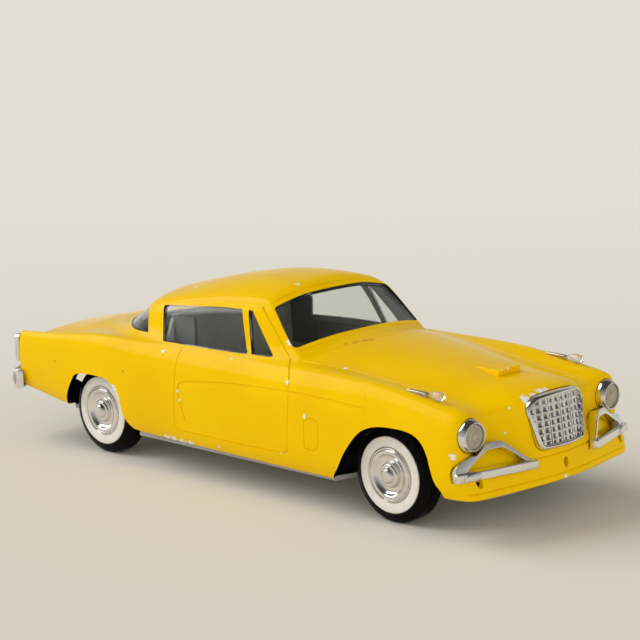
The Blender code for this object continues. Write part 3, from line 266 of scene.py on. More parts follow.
def box_cage(name, size, point, creased=()):
    """Closed cage of quads over the six sides of a lattice that is mirrored in y."""
    nx, ny, nz = size
    bm = bmesh.new()
    corner = {}

    def vertex(i, j, k):
        if (i, j, k) not in corner:
            x, y, z = point(i, abs(j), k)
            corner[i, j, k] = bm.verts.new((x, math.copysign(y, j) if j else 0.0, z))
        return corner[i, j, k]

    for i in range(nx):
        for j in range(-ny, ny):
            for k in (0, nz):
                bm.faces.new([vertex(i + a, j + b, k) for a, b in ((0, 0), (1, 0), (1, 1), (0, 1))])
        for k in range(nz):
            for j in (-ny, ny):
                bm.faces.new([vertex(i + a, j, k + b) for a, b in ((0, 0), (1, 0), (1, 1), (0, 1))])
    for j in range(-ny, ny):
        for k in range(nz):
            for i in (0, nx):
                bm.faces.new([vertex(i, j + a, k + b) for a, b in ((0, 0), (1, 0), (1, 1), (0, 1))])
    layer = bm.edges.layers.float.new("crease_edge")
    places = {vert: place for place, vert in corner.items()}
    for edge in bm.edges:
        start, end = (places[vert] for vert in edge.verts)
        for rule, amount in creased:
            if rule(*start) and rule(*end):
                edge[layer] = amount
    return add_mesh(name, bm)


def prism(name, outline, start, end, frame=Matrix(), paint=None):
    """Outline of (u, v) points, extruded along w from start to end, placed by a matrix in millimetres."""
    bm = bmesh.new()
    verts = [bm.verts.new(frame @ Vector((u, v, start))) for u, v in outline]
    face = bm.faces.new(verts)
    swept = bmesh.ops.extrude_face_region(bm, geom=[face])["geom"]
    moved = [item for item in swept if isinstance(item, bmesh.types.BMVert)]
    travel = frame.to_3x3() @ Vector((0, 0, end - start))
    bmesh.ops.translate(bm, vec=travel, verts=moved)
    return add_mesh(name, bm, paint)


def turned(name, profile, frame, segments, paint=None, closed=False):
    """Profile of (radius, along) points spun about the frame's z axis. A ring's profile is closed."""
    bm = bmesh.new()
    turn_half = Matrix.Rotation(math.pi / segments, 4, "Z")
    verts = [bm.verts.new(turn_half @ Vector((radius, 0, along))) for radius, along in profile]
    pairs = list(zip(verts, verts[1:]))
    if closed:
        pairs.append((verts[-1], verts[0]))
    edges = [bm.edges.new(pair) for pair in pairs]
    bmesh.ops.spin(
        bm, geom=verts + edges, cent=(0, 0, 0), axis=(0, 0, 1),
        angle=2 * math.pi, steps=segments, use_merge=True,
    )
    bmesh.ops.remove_doubles(bm, verts=bm.verts, dist=0.0001)
    bmesh.ops.transform(bm, matrix=frame, verts=bm.verts)
    return add_mesh(name, bm, paint)


def axis_frame(origin, along, across=(0, 0, 1)):
    """Frame whose z axis runs along a direction and whose x axis stays near another."""
    w = Vector(along).normalized()
    u = Vector(across)
    u = (u - w * u.dot(w)).normalized()
    v = w.cross(u)
    frame = Matrix((u, v, w)).transposed().to_4x4()
    frame.translation = Vector(origin)
    return frame


def rounded(points, radius, steps=3):
    """Closed outline with each corner of a polygon replaced by an arc."""
    outline = []
    count = len(points)
    for n in range(count):
        corner = Vector(points[n])
        before = (Vector(points[n - 1]) - corner).normalized()
        after = (Vector(points[(n + 1) % count]) - corner).normalized()
        half = before.angle(after) / 2
        reach = radius / math.tan(half)
        centre = corner + (before + after).normalized() * radius / math.sin(half)
        first = corner + before * reach - centre
        last = corner + after * reach - centre
        sweep = first.angle_signed(last)
        for step in range(steps + 1):
            outline.append(tuple(centre + Matrix.Rotation(-sweep * step / steps, 2) @ first))
    return outline


def mirrored(half):
    """Closed outline from its right half, given from bottom to top as (u, v) with u the half width."""
    return half + [(-u, v) for u, v in reversed(half)]


# Side view frame: u is x, v is z, and the extrusion runs across the car.
ACROSS = Matrix(((1, 0, 0, 0), (0, 0, -1, 0), (0, 1, 0, 0), (0, 0, 0, 1)))


def front(offset):
    return FRONT_AXLE_X + offset


def rear(offset):
    return REAR_AXLE_X + offset


def line(points):
    """Pair of curves, y and z, along x."""
    return (
        smooth_curve([(x, y) for x, y, z in points]),
        smooth_curve([(x, z) for x, y, z in points]),
    )


def lines_at(stations, rows):
    """One line for each row of (y, z) places at the stations along the car."""
    return [line([(x, y, z) for x, (y, z) in zip(stations, row)]) for row in rows]


# Lower body: lines along the car from the sill up to the fender crown, then in to the middle.
SIDE_LINES = lines_at([rear(-37), rear(-15), rear(18), front(-20), front(22)], [
    [(W - 3.4, 17.2), (W - 2.4, 14.4), (W - 2.2, SILL_Z + 0.4), (W - 2.0, SILL_Z - 0.2), (W - 1.8, APRON_Z)],
    [(W - 2.4, 19.2), (W - 1.2, 16.6), (W - 0.8, SILL_Z + 2.6), (W - 0.6, SILL_Z + 2.2),
     (W - 0.5, APRON_Z + 2.6)],
    [(W - 1.9, 21.6), (W - 0.5, 20.4), (W, 18.0), (W, 18.0), (W - 0.1, 19.4)],
    [(W - 1.6, 25.0), (W - 0.2, 24.6), (W + 0.1, 24.4), (W + 0.1, 24.4), (W - 0.2, 23.6)],
    [(W - 1.5, 29.0), (W - 0.3, 29.8), (W - 0.2, 31.0), (W, 31.4), (W - 0.8, 28.4)],
])
SIDE_LINES += lines_at([rear(-37), rear(-15), rear(18), front(-20), front(5), front(22)], [
    [(W - 1.7, 33.0), (W - 0.8, 34.4), (W - 1.4, 36.2), (W - 1.2, 36.0), (W - 1.4, 35.0), (W - 2.0, 32.0)],
])
CROWN_LINE = line([
    (rear(-37), W - 2.8, 35.6), (rear(-15), W - 2.4, 37.4), (rear(6), W - 3.2, 39.2),
    (rear(24), W - 4.6, BELT_Z - 0.7), (front(-40), W - 4.4, BELT_Z - 0.4),
    (front(-10), W - 3.8, 39.3), (front(5), W - 4.0, 38.0), (front(22), W - 3.6, 34.6),
])
TOP_STATIONS = [rear(-37), rear(-19), rear(-4), front(-42), front(-14), front(6)]
TOP_LINES = lines_at(TOP_STATIONS + [front(28)], [
    [(0, 33.6), (0, 38.4), (0, 39.4), (0, 44.9), (0, 42.2), (0, 39.7), (0, 37.2)],
    [(7, 33.5), (7, 38.2), (7, 39.3), (7, 44.6), (7, 41.9), (7, 39.4), (7, 37.0)],
])
TOP_LINES += lines_at(TOP_STATIONS + [front(26)], [
    [(13.4, 33.2), (13.4, 37.7), (13.4, 39.0), (13, 43.9), (13, 41.2), (13, 38.6), (12.8, 36.0)],
])
TOP_LINES += lines_at(TOP_STATIONS + [front(24)], [
    [(19.6, 32.6), (19.6, 36.8), (19.6, 38.6), (19, 42.5), (19, 39.9), (18.6, 37.0), (17.6, 34.2)],
    [(W - 11.2, 32.4), (W - 11.2, 34.6), (W - 11.2, 38.0), (W - 12.2, 40.8), (W - 12.2, 38.4),
     (W - 12.6, 35.7), (W - 14.0, 32.8)],
])
TOP_LINES += lines_at(TOP_STATIONS[:3] + [rear(30)] + TOP_STATIONS[3:] + [front(24)], [
    [(W - 5.8, 34.2), (W - 6.2, 35.8), (W - 7.2, 38.2), (W - 7.0, 38.6), (W - 7.8, 39.8), (W - 7.8, 39.2),
     (W - 8.0, 37.9), (W - 8.2, 35.0)],
])
STATIONS = [rear(offset) for offset in (-36, -29, -20, -9, 3, 17)]
STATIONS += [front(offset) for offset in (-84, -62, -42, -28, -15, -3, 8, 16, 22)]


def nose_plan(places):
    """Curve of x over y, from (y, distance behind the nose) places."""
    return smooth_curve([(y, NOSE_X - back) for y, back in places])


# Nose and tail in plan at each height, from the lower edge to the upper one.
APRON_PLAN = nose_plan([(0, 1.0), (14, 2.0), (24, 3.8), (W - 4.2, 4.6), (W, 7.6)])
LEDGE_PLAN = nose_plan([(0, 1.6), (13, 3.2), (24, 6.4), (W - 4.2, 8.4), (W, 10.4)])
RECESS_PLAN = nose_plan([(0, 2.0), (13, 4.0), (19, 9.0), (W - 4.6, 9.6), (W, 10.4)])
LAMP_PLAN = nose_plan([(0, 2.6), (13, 4.4), (19, 9.8), (25, 10.0), (W - 3.6, 9.7), (W, 9.0)])
HOOD_PLAN = nose_plan([(0, 4.2), (12.8, 6.4), (17.6, 10.4), (22.6, 11.0), (W - 7.6, 9.4), (W, 10.4)])
NOSE_ROWS = [
    (APRON_PLAN, APRON_Z, W - 1.0), (APRON_PLAN, APRON_Z + 3.0, W + 0.2), (LEDGE_PLAN, APRON_TOP_Z, W + 0.2),
    (RECESS_PLAN, 21.6, W - 0.4), (LAMP_PLAN, 25.2, W - 0.3), (LAMP_PLAN, 31.6, W - 0.7),
]
TAIL_PLAN = smooth_curve([(0, TAIL_X + 2.6), (18, TAIL_X + 3.4), (W - 7.6, TAIL_X + 5.2), (W, TAIL_X + 6.6)])
TAIL_ROWS = [17.2, 19.4, 22.2, 25.4, 29.0, 32.2]
COLUMN_SHARES = [0.0, 0.2, 0.37, 0.53, 0.7, 0.88, 1.0]


def lower_body(name, levels, inset=0.0, drop=0.0, pitch=1):
    """Lower body as a solid, drawn in by the inset on every side but the open bottom.

    A pitch of 2 keeps every second line and gives the coarser form of the inside.
    """
    last = len(STATIONS) - 1
    top = len(SIDE_LINES)
    side = len(TOP_LINES)
    picked = sorted(set(range(0, last + 1, pitch)) | {last})

    def along(curves, x):
        return curves[0](x), curves[1](x)

    def outer(i, j, k):
        x = STATIONS[i]
        if k == top:
            y, z = along(CROWN_LINE if j == side else TOP_LINES[j], x)
        else:
            y, z = along(SIDE_LINES[k], x)
            y *= COLUMN_SHARES[j]
        if i == last and k == top:
            x = HOOD_PLAN(y)
        elif i == last:
            plan, z, half = NOSE_ROWS[k]
            y = half * COLUMN_SHARES[j]
            x = plan(y) if pitch == 1 else min(LAMP_PLAN(y), LEDGE_PLAN(y)) - WALL
        elif i == 0:
            x = TAIL_PLAN(y)
            if k < top:
                z = TAIL_ROWS[k]
        return x, y, z

    def point(i, j, k):
        i = picked[i]
        j *= pitch
        k *= pitch
        x, y, z = outer(i, j, k)
        if i == last:
            x -= inset
        if i == 0:
            x += inset
        if j == side:
            y -= inset
        if k == top:
            z -= inset
        if k == 0:
            z -= drop
        return x, y, z

    size = (len(picked) - 1, side // pitch, top // pitch)

    def on_bottom(i, j, k):
        return k == 0 and (i in (0, size[0]) or abs(j) == size[1])

    def on_tail_corner(i, j, k):
        return i == 0 and (abs(j) == size[1] or k == size[2])

    return subdivide(box_cage(name, size, point, [(on_tail_corner, 0.7), (on_bottom, 1.0)]), levels)


def apron_cavity():
    """Space behind the apron, open to the cavity and to below."""
    places = (0.0, 14.0, 24.0, W - 5.6)
    edge = [(APRON_PLAN(y) - WALL * 1.6, y) for y in places]
    back = front(18)
    outline = [(x, -y) for x, y in reversed(edge)] + edge[1:] + [(back, places[-1]), (back, -places[-1])]
    return prism("apron_cavity", outline, 0.0, SIDE_GRILLE_Z - WALL)


# Greenhouse: roof rail, pillars and glass lie on one closed form that stands in the lower body.
ROOF_LINE = smooth_curve([(rear(16), ROOF_Z - 6.4), (rear(24), ROOF_Z - 3.7), (rear(37), ROOF_Z - 0.8),
                          (front(-73), ROOF_Z + 1.0), (front(-62), ROOF_Z + 1.3), (front(-53), ROOF_Z + 0.5)])
RAIL_Z = smooth_curve([(rear(15), ROOF_Z - 9.8), (rear(30), ROOF_Z - 6.8), (front(-70), ROOF_Z - 4.2),
                       (front(-53), ROOF_Z - 3.5)])
RAIL_Y = smooth_curve([(rear(15), W - 12.4), (rear(30), W - 11.2), (front(-70), W - 10.8),
                       (front(-53), W - 12.0)])
FOOT_Y = smooth_curve([(rear(15), W - 7.2), (rear(30), W - 5.4), (front(-70), W - 5.2), (front(-53), W - 6.0),
                       (front(-40), W - 8.0)])
CABIN_STATIONS = [rear(16), rear(22), rear(34), front(-74), front(-62), front(-53)]
CABIN_SHARES = [0.0, 0.28, 0.54, 0.8, 1.0]
CABIN_HEIGHTS = [0.0, 0.32, 0.66, 1.0]
CABIN_FOOT_Z = BELT_Z - 3.6
WINDSCREEN_RUN = 23.0
BACKLIGHT_RUN = 27.0
ROOF_CURVE = 2.6
WINDSCREEN_WRAP = 0.18
WINDSCREEN_TUCK = 3.0
BACKLIGHT_WRAP = 0.78
BACKLIGHT_BULGE = 4.0
SLOPED_INSET = 1.2


def greenhouse(name, levels, inset=0.0):
    """Upper body as a solid, drawn in by the inset on every side but its foot."""
    last = len(CABIN_STATIONS) - 1
    side = len(CABIN_SHARES) - 1
    top = len(CABIN_HEIGHTS) - 1

    def point(i, j, k):
        x = CABIN_STATIONS[i]
        share = CABIN_SHARES[j]
        height = CABIN_HEIGHTS[k]
        rail_z = RAIL_Z(x)
        upper_z = rail_z + (ROOF_LINE(x) - rail_z) * (1 - share ** ROOF_CURVE)
        y = (FOOT_Y(x) + (RAIL_Y(x) - FOOT_Y(x)) * height) * share
        z = CABIN_FOOT_Z + (upper_z - CABIN_FOOT_Z) * height
        if i == last:
            x += WINDSCREEN_RUN * (1 - height) * (1 - WINDSCREEN_WRAP * share ** 3)
            y -= WINDSCREEN_TUCK * (1 - height) * share
        elif i == 0:
            sweep = 1 - BACKLIGHT_WRAP * share ** 2.5
            x -= BACKLIGHT_RUN * (1 - height) * sweep + BACKLIGHT_BULGE * (1 - share ** 2)
        if i == last:
            x -= inset * SLOPED_INSET
        if i == 0:
            x += inset * SLOPED_INSET
        if j == side:
            y -= inset
        if k == top:
            z -= inset
        return x, y, z

    def front_pillar(i, j, k):
        return i == last and abs(j) == side

    def rear_pillar(i, j, k):
        return i == 0 and abs(j) == side

    def header(i, j, k):
        return i == last and k == top

    def foot(i, j, k):
        return k == 0 and (i in (0, last) or abs(j) == side)

    creases = [(foot, 1.0), (front_pillar, 0.7), (rear_pillar, 0.2), (header, 0.3)]
    return subdivide(box_cage(name, (last, side, top), point, creases), levels)


# Openings in the side view.
MAIN_WINDOW = [(rear(28.2), BELT_Z - 0.6), (front(-57.4), BELT_Z - 0.1), (front(-62.6), ROOF_Z - 6.3),
               (front(-70), ROOF_Z - 6.5), (rear(41.4), ROOF_Z - 7.3), (rear(24.1), ROOF_Z - 9.0)]
VENT_WINDOW = [(front(-55.9), BELT_Z), (front(-47.6), BELT_Z + 0.1), (front(-58.3), ROOF_Z - 6.4),
               (front(-60.2), ROOF_Z - 6.0)]
BACKLIGHT_CUT = [(rear(20.0), BELT_Z + 0.8), (rear(16.3), ROOF_Z - 10.3), (rear(10.6), ROOF_Z - 7.0),
                 (rear(-30), ROOF_Z - 4.0), (rear(-30), BELT_Z + 0.4)]
WINDSCREEN_FOOT = Vector((front(-39.0), 0, BELT_Z + 4.7))
WINDSCREEN_HEAD = Vector((front(-52.6), 0, ROOF_Z - 3.0))
WINDSCREEN_HEIGHT = (WINDSCREEN_HEAD - WINDSCREEN_FOOT).length
WINDSCREEN_OUTLINE = [(W - 10.1, 0.4), (W - 11.2, 8.0), (W - 12.7, WINDSCREEN_HEIGHT - 2.2),
                      (W - 24.6, WINDSCREEN_HEIGHT - 1.2)]
WINDSCREEN_SPARE = 1.2
WINDSCREEN_CORNER = 1.3
VISIBLE_CORNER = 0.4


def grown(outline, margin):
    """Convex outline moved out by a margin."""
    middle = sum((Vector(point) for point in outline), Vector((0, 0))) / len(outline)
    return [tuple(Vector(point) + (Vector(point) - middle).normalized() * margin) for point in outline]


def windscreen_cutter(name, margin=0.0):
    slope = (WINDSCREEN_HEAD - WINDSCREEN_FOOT).normalized()
    frame = axis_frame(WINDSCREEN_FOOT, Vector((0, 1, 0)).cross(slope), (0, 1, 0))
    outline = mirrored(WINDSCREEN_OUTLINE)
    depth = WALL + SEAT_GAP + GLASS + WINDSCREEN_SPARE
    return prism(name, rounded(grown(outline, margin), WINDSCREEN_CORNER), -depth, CUT_REACH, frame)


def window_cutter(name, corners, margin=0.0):
    return prism(name, rounded(grown(corners, margin), VISIBLE_CORNER), -FAR, FAR, ACROSS)


# Wheel arches in the side view, as places from the axle.
FRONT_ARCH = [(-19.6, 4.0), (-18.6, 10.0), (-15.6, 14.0), (-11.8, 19.8), (-6.4, 25.6), (0.0, 28.0),
              (9.4, 28.3), (14.6, 26.7), (17.6, 23.0), (20.0, 16.3), (22.4, 12.6), (23.0, 4.0)]
REAR_ARCH = [(-16.0, 4.0), (-14.2, 14.4), (-9.4, 22.6), (-5.4, 25.6), (6.4, 25.9), (11.0, 23.9), (14.2, 19.6),
             (15.4, 14.6), (18.4, 11.2), (21.4, 10.4), (21.6, 4.0)]


def wheel_frame(axle_x, side):
    """Frame at the outer face of a wheel, with z pointing inwards."""
    return axis_frame((axle_x, side * WHEEL_FACE_Y, AXLE_Z), (0, -side, 0))


# Materials.
def new_material(name):
    paint = bpy.data.materials.new(name)
    paint.use_nodes = True
    tree = paint.node_tree
    return paint, tree, tree.nodes["Principled BSDF"]


def add(tree, kind, values=None, **settings):
    """Node with its settings, and its inputs set to constants or linked to other nodes' outputs."""
    made = tree.nodes.new("ShaderNode" + kind)
    for key, value in settings.items():
        setattr(made, key, value)
    put(tree, made, values or {})
    return made


def put(tree, made, values):
    for key, value in values.items():
        if isinstance(value, bpy.types.NodeSocket):
            tree.links.new(value, made.inputs[key])
        else:
            made.inputs[key].default_value = value


def places(tree):
    """Position on the piece, in metres."""
    return add(tree, "TexCoord").outputs["Object"]


def noise(tree, scale, detail=2.0, rough=0.5):
    values = {"Vector": places(tree), "Scale": scale, "Detail": detail, "Roughness": rough}
    return add(tree, "TexNoise", values).outputs["Fac"]


def spread(tree, value, low, high, new_low=0.0, new_high=1.0):
    """Value moved from one range to another and kept inside it."""
    values = {"Value": value, "From Min": low, "From Max": high, "To Min": new_low, "To Max": new_high}
    return add(tree, "MapRange", values, clamp=True).outputs["Result"]


def reckon(tree, operation, one, two):
    return add(tree, "Math", {0: one, 1: two}, operation=operation).outputs["Value"]


def measure(tree, operation, one, two):
    """Number from two vectors."""
    return add(tree, "VectorMath", {0: one, 1: two}, operation=operation).outputs["Value"]


def mix_colour(tree, share, one, two):
    values = {"Factor": share, 6: one, 7: two}
    return add(tree, "Mix", values, data_type="RGBA").outputs[2]


def bump(tree, height, strength, distance, base=None):
    values = {"Height": height, "Strength": strength, "Distance": distance}
    if base is not None:
        values["Normal"] = base
    return add(tree, "Bump", values).outputs["Normal"]


# White plastic shows where the paint has come off, and two small spots on the nose are painted highlights:
# place in millimetres, and size.
CHIPS_AND_GLINTS = [
    ((-46.2, -36.5, 23.5), 1.3), ((-45.4, -36.5, 22.4), 1.5), ((-44.6, -36.5, 21.2), 1.4),
    ((-44.0, -36.4, 20.1), 1.0), ((-24.7, -34.0, 37.4), 1.0), ((3.6, -32.6, 38.4), 0.8),
    ((21.8, -26.1, 44.1), 1.4), ((42.8, -25.6, 39.4), 0.8), ((-16.1, -36.5, 26.7), 0.7),
    ((-15.3, -36.5, 24.0), 0.7), ((-23.7, -34.8, 10.8), 1.5), ((-20.6, -34.7, 10.6), 1.6),
    ((-16.8, -34.8, 10.5), 1.8), ((-13.2, -34.8, 10.4), 1.8), ((0.0, -35.4, 11.9), 0.6),
    ((-28.4, -16.5, 53.8), 0.9), ((10.1, -11.1, 57.5), 1.0), ((29.5, -35.3, 35.3), 0.9),
    ((37.2, -36.5, 26.9), 0.8), ((90.3, -35.3, 23.7), 1.2), ((95.0, -10.5, 35.2), 2.0),
    ((95.1, -7.5, 35.7), 1.2), ((95.1, -4.4, 36.2), 1.9), ((95.3, -2.2, 36.3), 1.4),
    # The first two places on the next line are painted highlights on the nose.
    ((93.4, -15.5, 33.5), 0.5), ((93.5, -17.4, 27.1), 0.6), ((81.2, -1.1, 40.2), 0.8),
    ((81.2, -3.5, 40.1), 0.5), ((100.2, 0.2, 12.4), 1.0), ((27.0, -36.0, 14.6), 0.5),
    ((-60.0, 36.2, 14.0), 1.0), ((20.0, 36.0, 11.6), 0.9), ((-96.0, -8.0, 33.6), 1.0),
    ((-97.2, 14.0, 20.5), 1.0), ((-52.0, 28.6, 39.0), 0.8),
]
# Painted shadow along the cowl seam, in brown, listed as the chip places are.
COWL_SEAM_SHADOW = [
    ((31.8, -13.5, 43.0), 1.2), ((33.1, -11.1, 43.3), 1.6), ((34.6, -8.6, 43.4), 1.9),
    ((35.9, -7.0, 43.5), 1.5),
]


def spot_mask(tree, spots):
    """One near any of the listed places, with a ragged edge, and zero elsewhere."""
    spot = places(tree)
    ragged = noise(tree, 900.0, 4.0, 0.6)
    nearest = None
    for place, size in spots:
        offset = measure(tree, "DISTANCE", spot, Vector(place) * MM)
        share = reckon(tree, "DIVIDE", offset, size * MM)
        nearest = share if nearest is None else reckon(tree, "MINIMUM", nearest, share)
    edge = reckon(tree, "ADD", nearest, spread(tree, ragged, 0.3, 0.7, -0.55, 0.55))
    return spread(tree, edge, 0.62, 0.7, 1.0, 0.0)


YELLOW = (0.85, 0.53, 0.0, 1.0)
DEEP_YELLOW = (0.81, 0.485, 0.0, 1.0)
SEAM_SHADOW_BROWN = (0.68, 0.38, 0.0, 1.0)
CHIP_WHITE_AND_GLINT = (0.78, 0.76, 0.72, 1.0)


def yellow_paint():
    paint, tree, shader = new_material("yellow_paint")
    cloudy = spread(tree, noise(tree, 45.0, 3.0), 0.35, 0.7)
    colour = mix_colour(tree, cloudy, YELLOW, DEEP_YELLOW)
    specks = spread(tree, noise(tree, 700.0, 1.0), 0.79, 0.82)
    colour = mix_colour(tree, specks, colour, (0.25, 0.15, 0.02, 1.0))
    # Painted shadow in brown beside the cowl seam.
    colour = mix_colour(tree, spot_mask(tree, COWL_SEAM_SHADOW), colour, SEAM_SHADOW_BROWN)
    # White where the paint has come off, and two painted highlights on the nose.
    chips_and_glints = spot_mask(tree, CHIPS_AND_GLINTS)
    colour = mix_colour(tree, chips_and_glints, colour, CHIP_WHITE_AND_GLINT)
    rough = spread(tree, noise(tree, 90.0, 3.0), 0.3, 0.75, 0.14, 0.2)
    rough = reckon(tree, "ADD", rough, reckon(tree, "MULTIPLY", chips_and_glints, 0.3))
    peel = bump(tree, noise(tree, 900.0, 2.0), 0.02, 0.0002)
    step = bump(tree, reckon(tree, "SUBTRACT", 1.0, chips_and_glints), 0.6, 0.00012, peel)
    put(tree, shader, {
        "Base Color": colour, "Roughness": rough, "Normal": step, "Specular IOR Level": 0.05,
    })
    return paint


CABIN_GREY = (0.85, 0.85, 0.765, 1.0)
CABIN_SHADE = (0.65, 0.65, 0.58, 1.0)
# Painted shade: black for the low inside of the shell and the top of the chassis, which lie in deep shadow.
PAINTED_SHADE_BLACK = (0.0015, 0.0012, 0.001, 1.0)
WELL_TOP = 0.0275
WELL_BORDER = 0.0015
CHASSIS_GREY = (0.42, 0.41, 0.38, 1.0)
CHASSIS_SHADE = (0.34, 0.33, 0.31, 1.0)
# Height above which the chassis takes the painted shade.
CHASSIS_TOP = 0.0099
CHASSIS_BORDER = 0.0001


def moulded_plastic(name, colour, shade, low=0.35, high=0.55, gloss=0.4):
    """Plain plastic with faint clouds, fine grain and scuffs."""
    paint, tree, shader = new_material(name)
    clouds = spread(tree, noise(tree, 60.0, 4.0), 0.3, 0.7)
    scuffs = spread(tree, noise(tree, 420.0, 5.0, 0.7), 0.58, 0.72)
    tint = mix_colour(tree, clouds, colour, shade)
    rough = spread(tree, scuffs, 0.0, 1.0, low, high)
    put(tree, shader, {
        "Base Color": tint, "Roughness": rough, "Specular IOR Level": gloss,
        "Normal": bump(tree, noise(tree, 1500.0, 3.0), 0.12, 0.0002),
    })
    return paint


def by_height(tree, level, border, below, above):
    """One colour below a level and another above it, with a ragged border between them."""
    split = add(tree, "SeparateXYZ", {"Vector": places(tree)})
    ragged = spread(tree, noise(tree, 120.0, 4.0), 0.3, 0.7, -border, border)
    height = reckon(tree, "ADD", split.outputs["Z"], ragged)
    return mix_colour(tree, spread(tree, height, level - border, level + border), below, above)


def inner_plastic_with_painted_shade():
    """Inside of the shell: grey in the cabin, and black low down in the wheel wells, which is painted shade.
    """
    paint, tree, shader = new_material("inner_plastic_with_painted_shade")
    grey = mix_colour(tree, spread(tree, noise(tree, 70.0, 4.0), 0.3, 0.7), CABIN_GREY, CABIN_SHADE)
    # Painted shade: black below WELL_TOP, grey above it.
    put(tree, shader, {
        "Base Color": by_height(tree, WELL_TOP, WELL_BORDER, PAINTED_SHADE_BLACK, grey),
        "Roughness": spread(tree, noise(tree, 400.0, 4.0), 0.3, 0.7, 0.8, 0.95),
        "Specular IOR Level": 0.0,
    })
    return paint


def chassis_plastic_with_painted_shade():
    """Grey plastic, black on the face that looks up into the wheel wells, which is painted shade."""
    paint, tree, shader = new_material("chassis_plastic_with_painted_shade")
    grey = mix_colour(tree, spread(tree, noise(tree, 60.0, 4.0), 0.3, 0.7), CHASSIS_GREY, CHASSIS_SHADE)
    # Painted shade: black above CHASSIS_TOP, grey below it.
    put(tree, shader, {
        "Base Color": by_height(tree, CHASSIS_TOP, CHASSIS_BORDER, grey, PAINTED_SHADE_BLACK),
        "Roughness": spread(tree, noise(tree, 420.0, 5.0), 0.3, 0.7, 0.6, 0.8),
        "Specular IOR Level": 0.1,
        "Normal": bump(tree, noise(tree, 1500.0, 3.0), 0.12, 0.0002),
    })
    return paint


def plating(name, colour, dull, low, high):
    """Plated plastic: bright, with dull patches, small pits and a slightly wavy face."""
    paint, tree, shader = new_material(name)
    patches = spread(tree, noise(tree, 130.0, 5.0, 0.6), 0.45, 0.72)
    pits = spread(tree, noise(tree, 1500.0, 2.0), 0.7, 0.78)
    tint = mix_colour(tree, patches, colour, dull)
    tint = mix_colour(tree, pits, tint, (0.16, 0.14, 0.12, 1.0))
    rough = spread(tree, patches, 0.0, 1.0, low, high)
    rough = reckon(tree, "ADD", rough, reckon(tree, "MULTIPLY", pits, 0.4))
    wavy = bump(tree, noise(tree, 240.0, 2.0), 0.12, 0.0004)
    put(tree, shader, {
        "Base Color": tint, "Roughness": rough, "Metallic": 1.0,
        "Normal": bump(tree, pits, 0.3, 0.0001, wavy),
    })
    return paint


def window_plastic():
    """Clear plastic with faint dust; light passes it on shadow rays."""
    paint, tree, shader = new_material("clear_plastic")
    dust = spread(tree, noise(tree, 300.0, 5.0, 0.7), 0.5, 0.8)
    scratches = noise(tree, 900.0, 2.0)
    put(tree, shader, {
        "Base Color": (0.9, 0.93, 0.92, 1.0), "Transmission Weight": 1.0, "IOR": 1.3,
        "Roughness": spread(tree, dust, 0.0, 1.0, 0.02, 0.1),
        "Normal": bump(tree, scratches, 0.02, 0.0001),
    })
    clear = add(tree, "BsdfTransparent", {"Color": (0.72, 0.75, 0.74, 1.0)})
    path = add(tree, "LightPath")
    ways = {0: path.outputs["Is Shadow Ray"], 1: shader.outputs[0], 2: clear.outputs[0]}
    either = add(tree, "MixShader", ways)
    tree.links.new(either.outputs[0], tree.nodes["Material Output"].inputs["Surface"])
    return paint


def lamp_plastic(name, colour, shade, transmission, rough):
    """Tinted lens plastic with faint clouds of dust."""
    paint, tree, shader = new_material(name)
    clouds = spread(tree, noise(tree, 500.0, 4.0), 0.35, 0.7)
    put(tree, shader, {
        "Base Color": mix_colour(tree, clouds, colour, shade),
        "Transmission Weight": transmission, "IOR": 1.47,
        "Roughness": spread(tree, clouds, 0.0, 1.0, rough, rough + 0.15),
        "Normal": bump(tree, noise(tree, 1800.0, 2.0), 0.06, 0.0001),
    })
    return paint


def rubber(name, colour, shade, low, high, gloss):
    """Vinyl with faint mould haze and dust."""
    paint, tree, shader = new_material(name)
    haze = spread(tree, noise(tree, 190.0, 5.0, 0.65), 0.4, 0.75)
    put(tree, shader, {
        "Base Color": mix_colour(tree, haze, colour, shade),
        "Roughness": spread(tree, haze, 0.0, 1.0, low, high),
        "Normal": bump(tree, noise(tree, 2200.0, 3.0), 0.1, 0.0001), "Specular IOR Level": gloss,
    })
    return paint


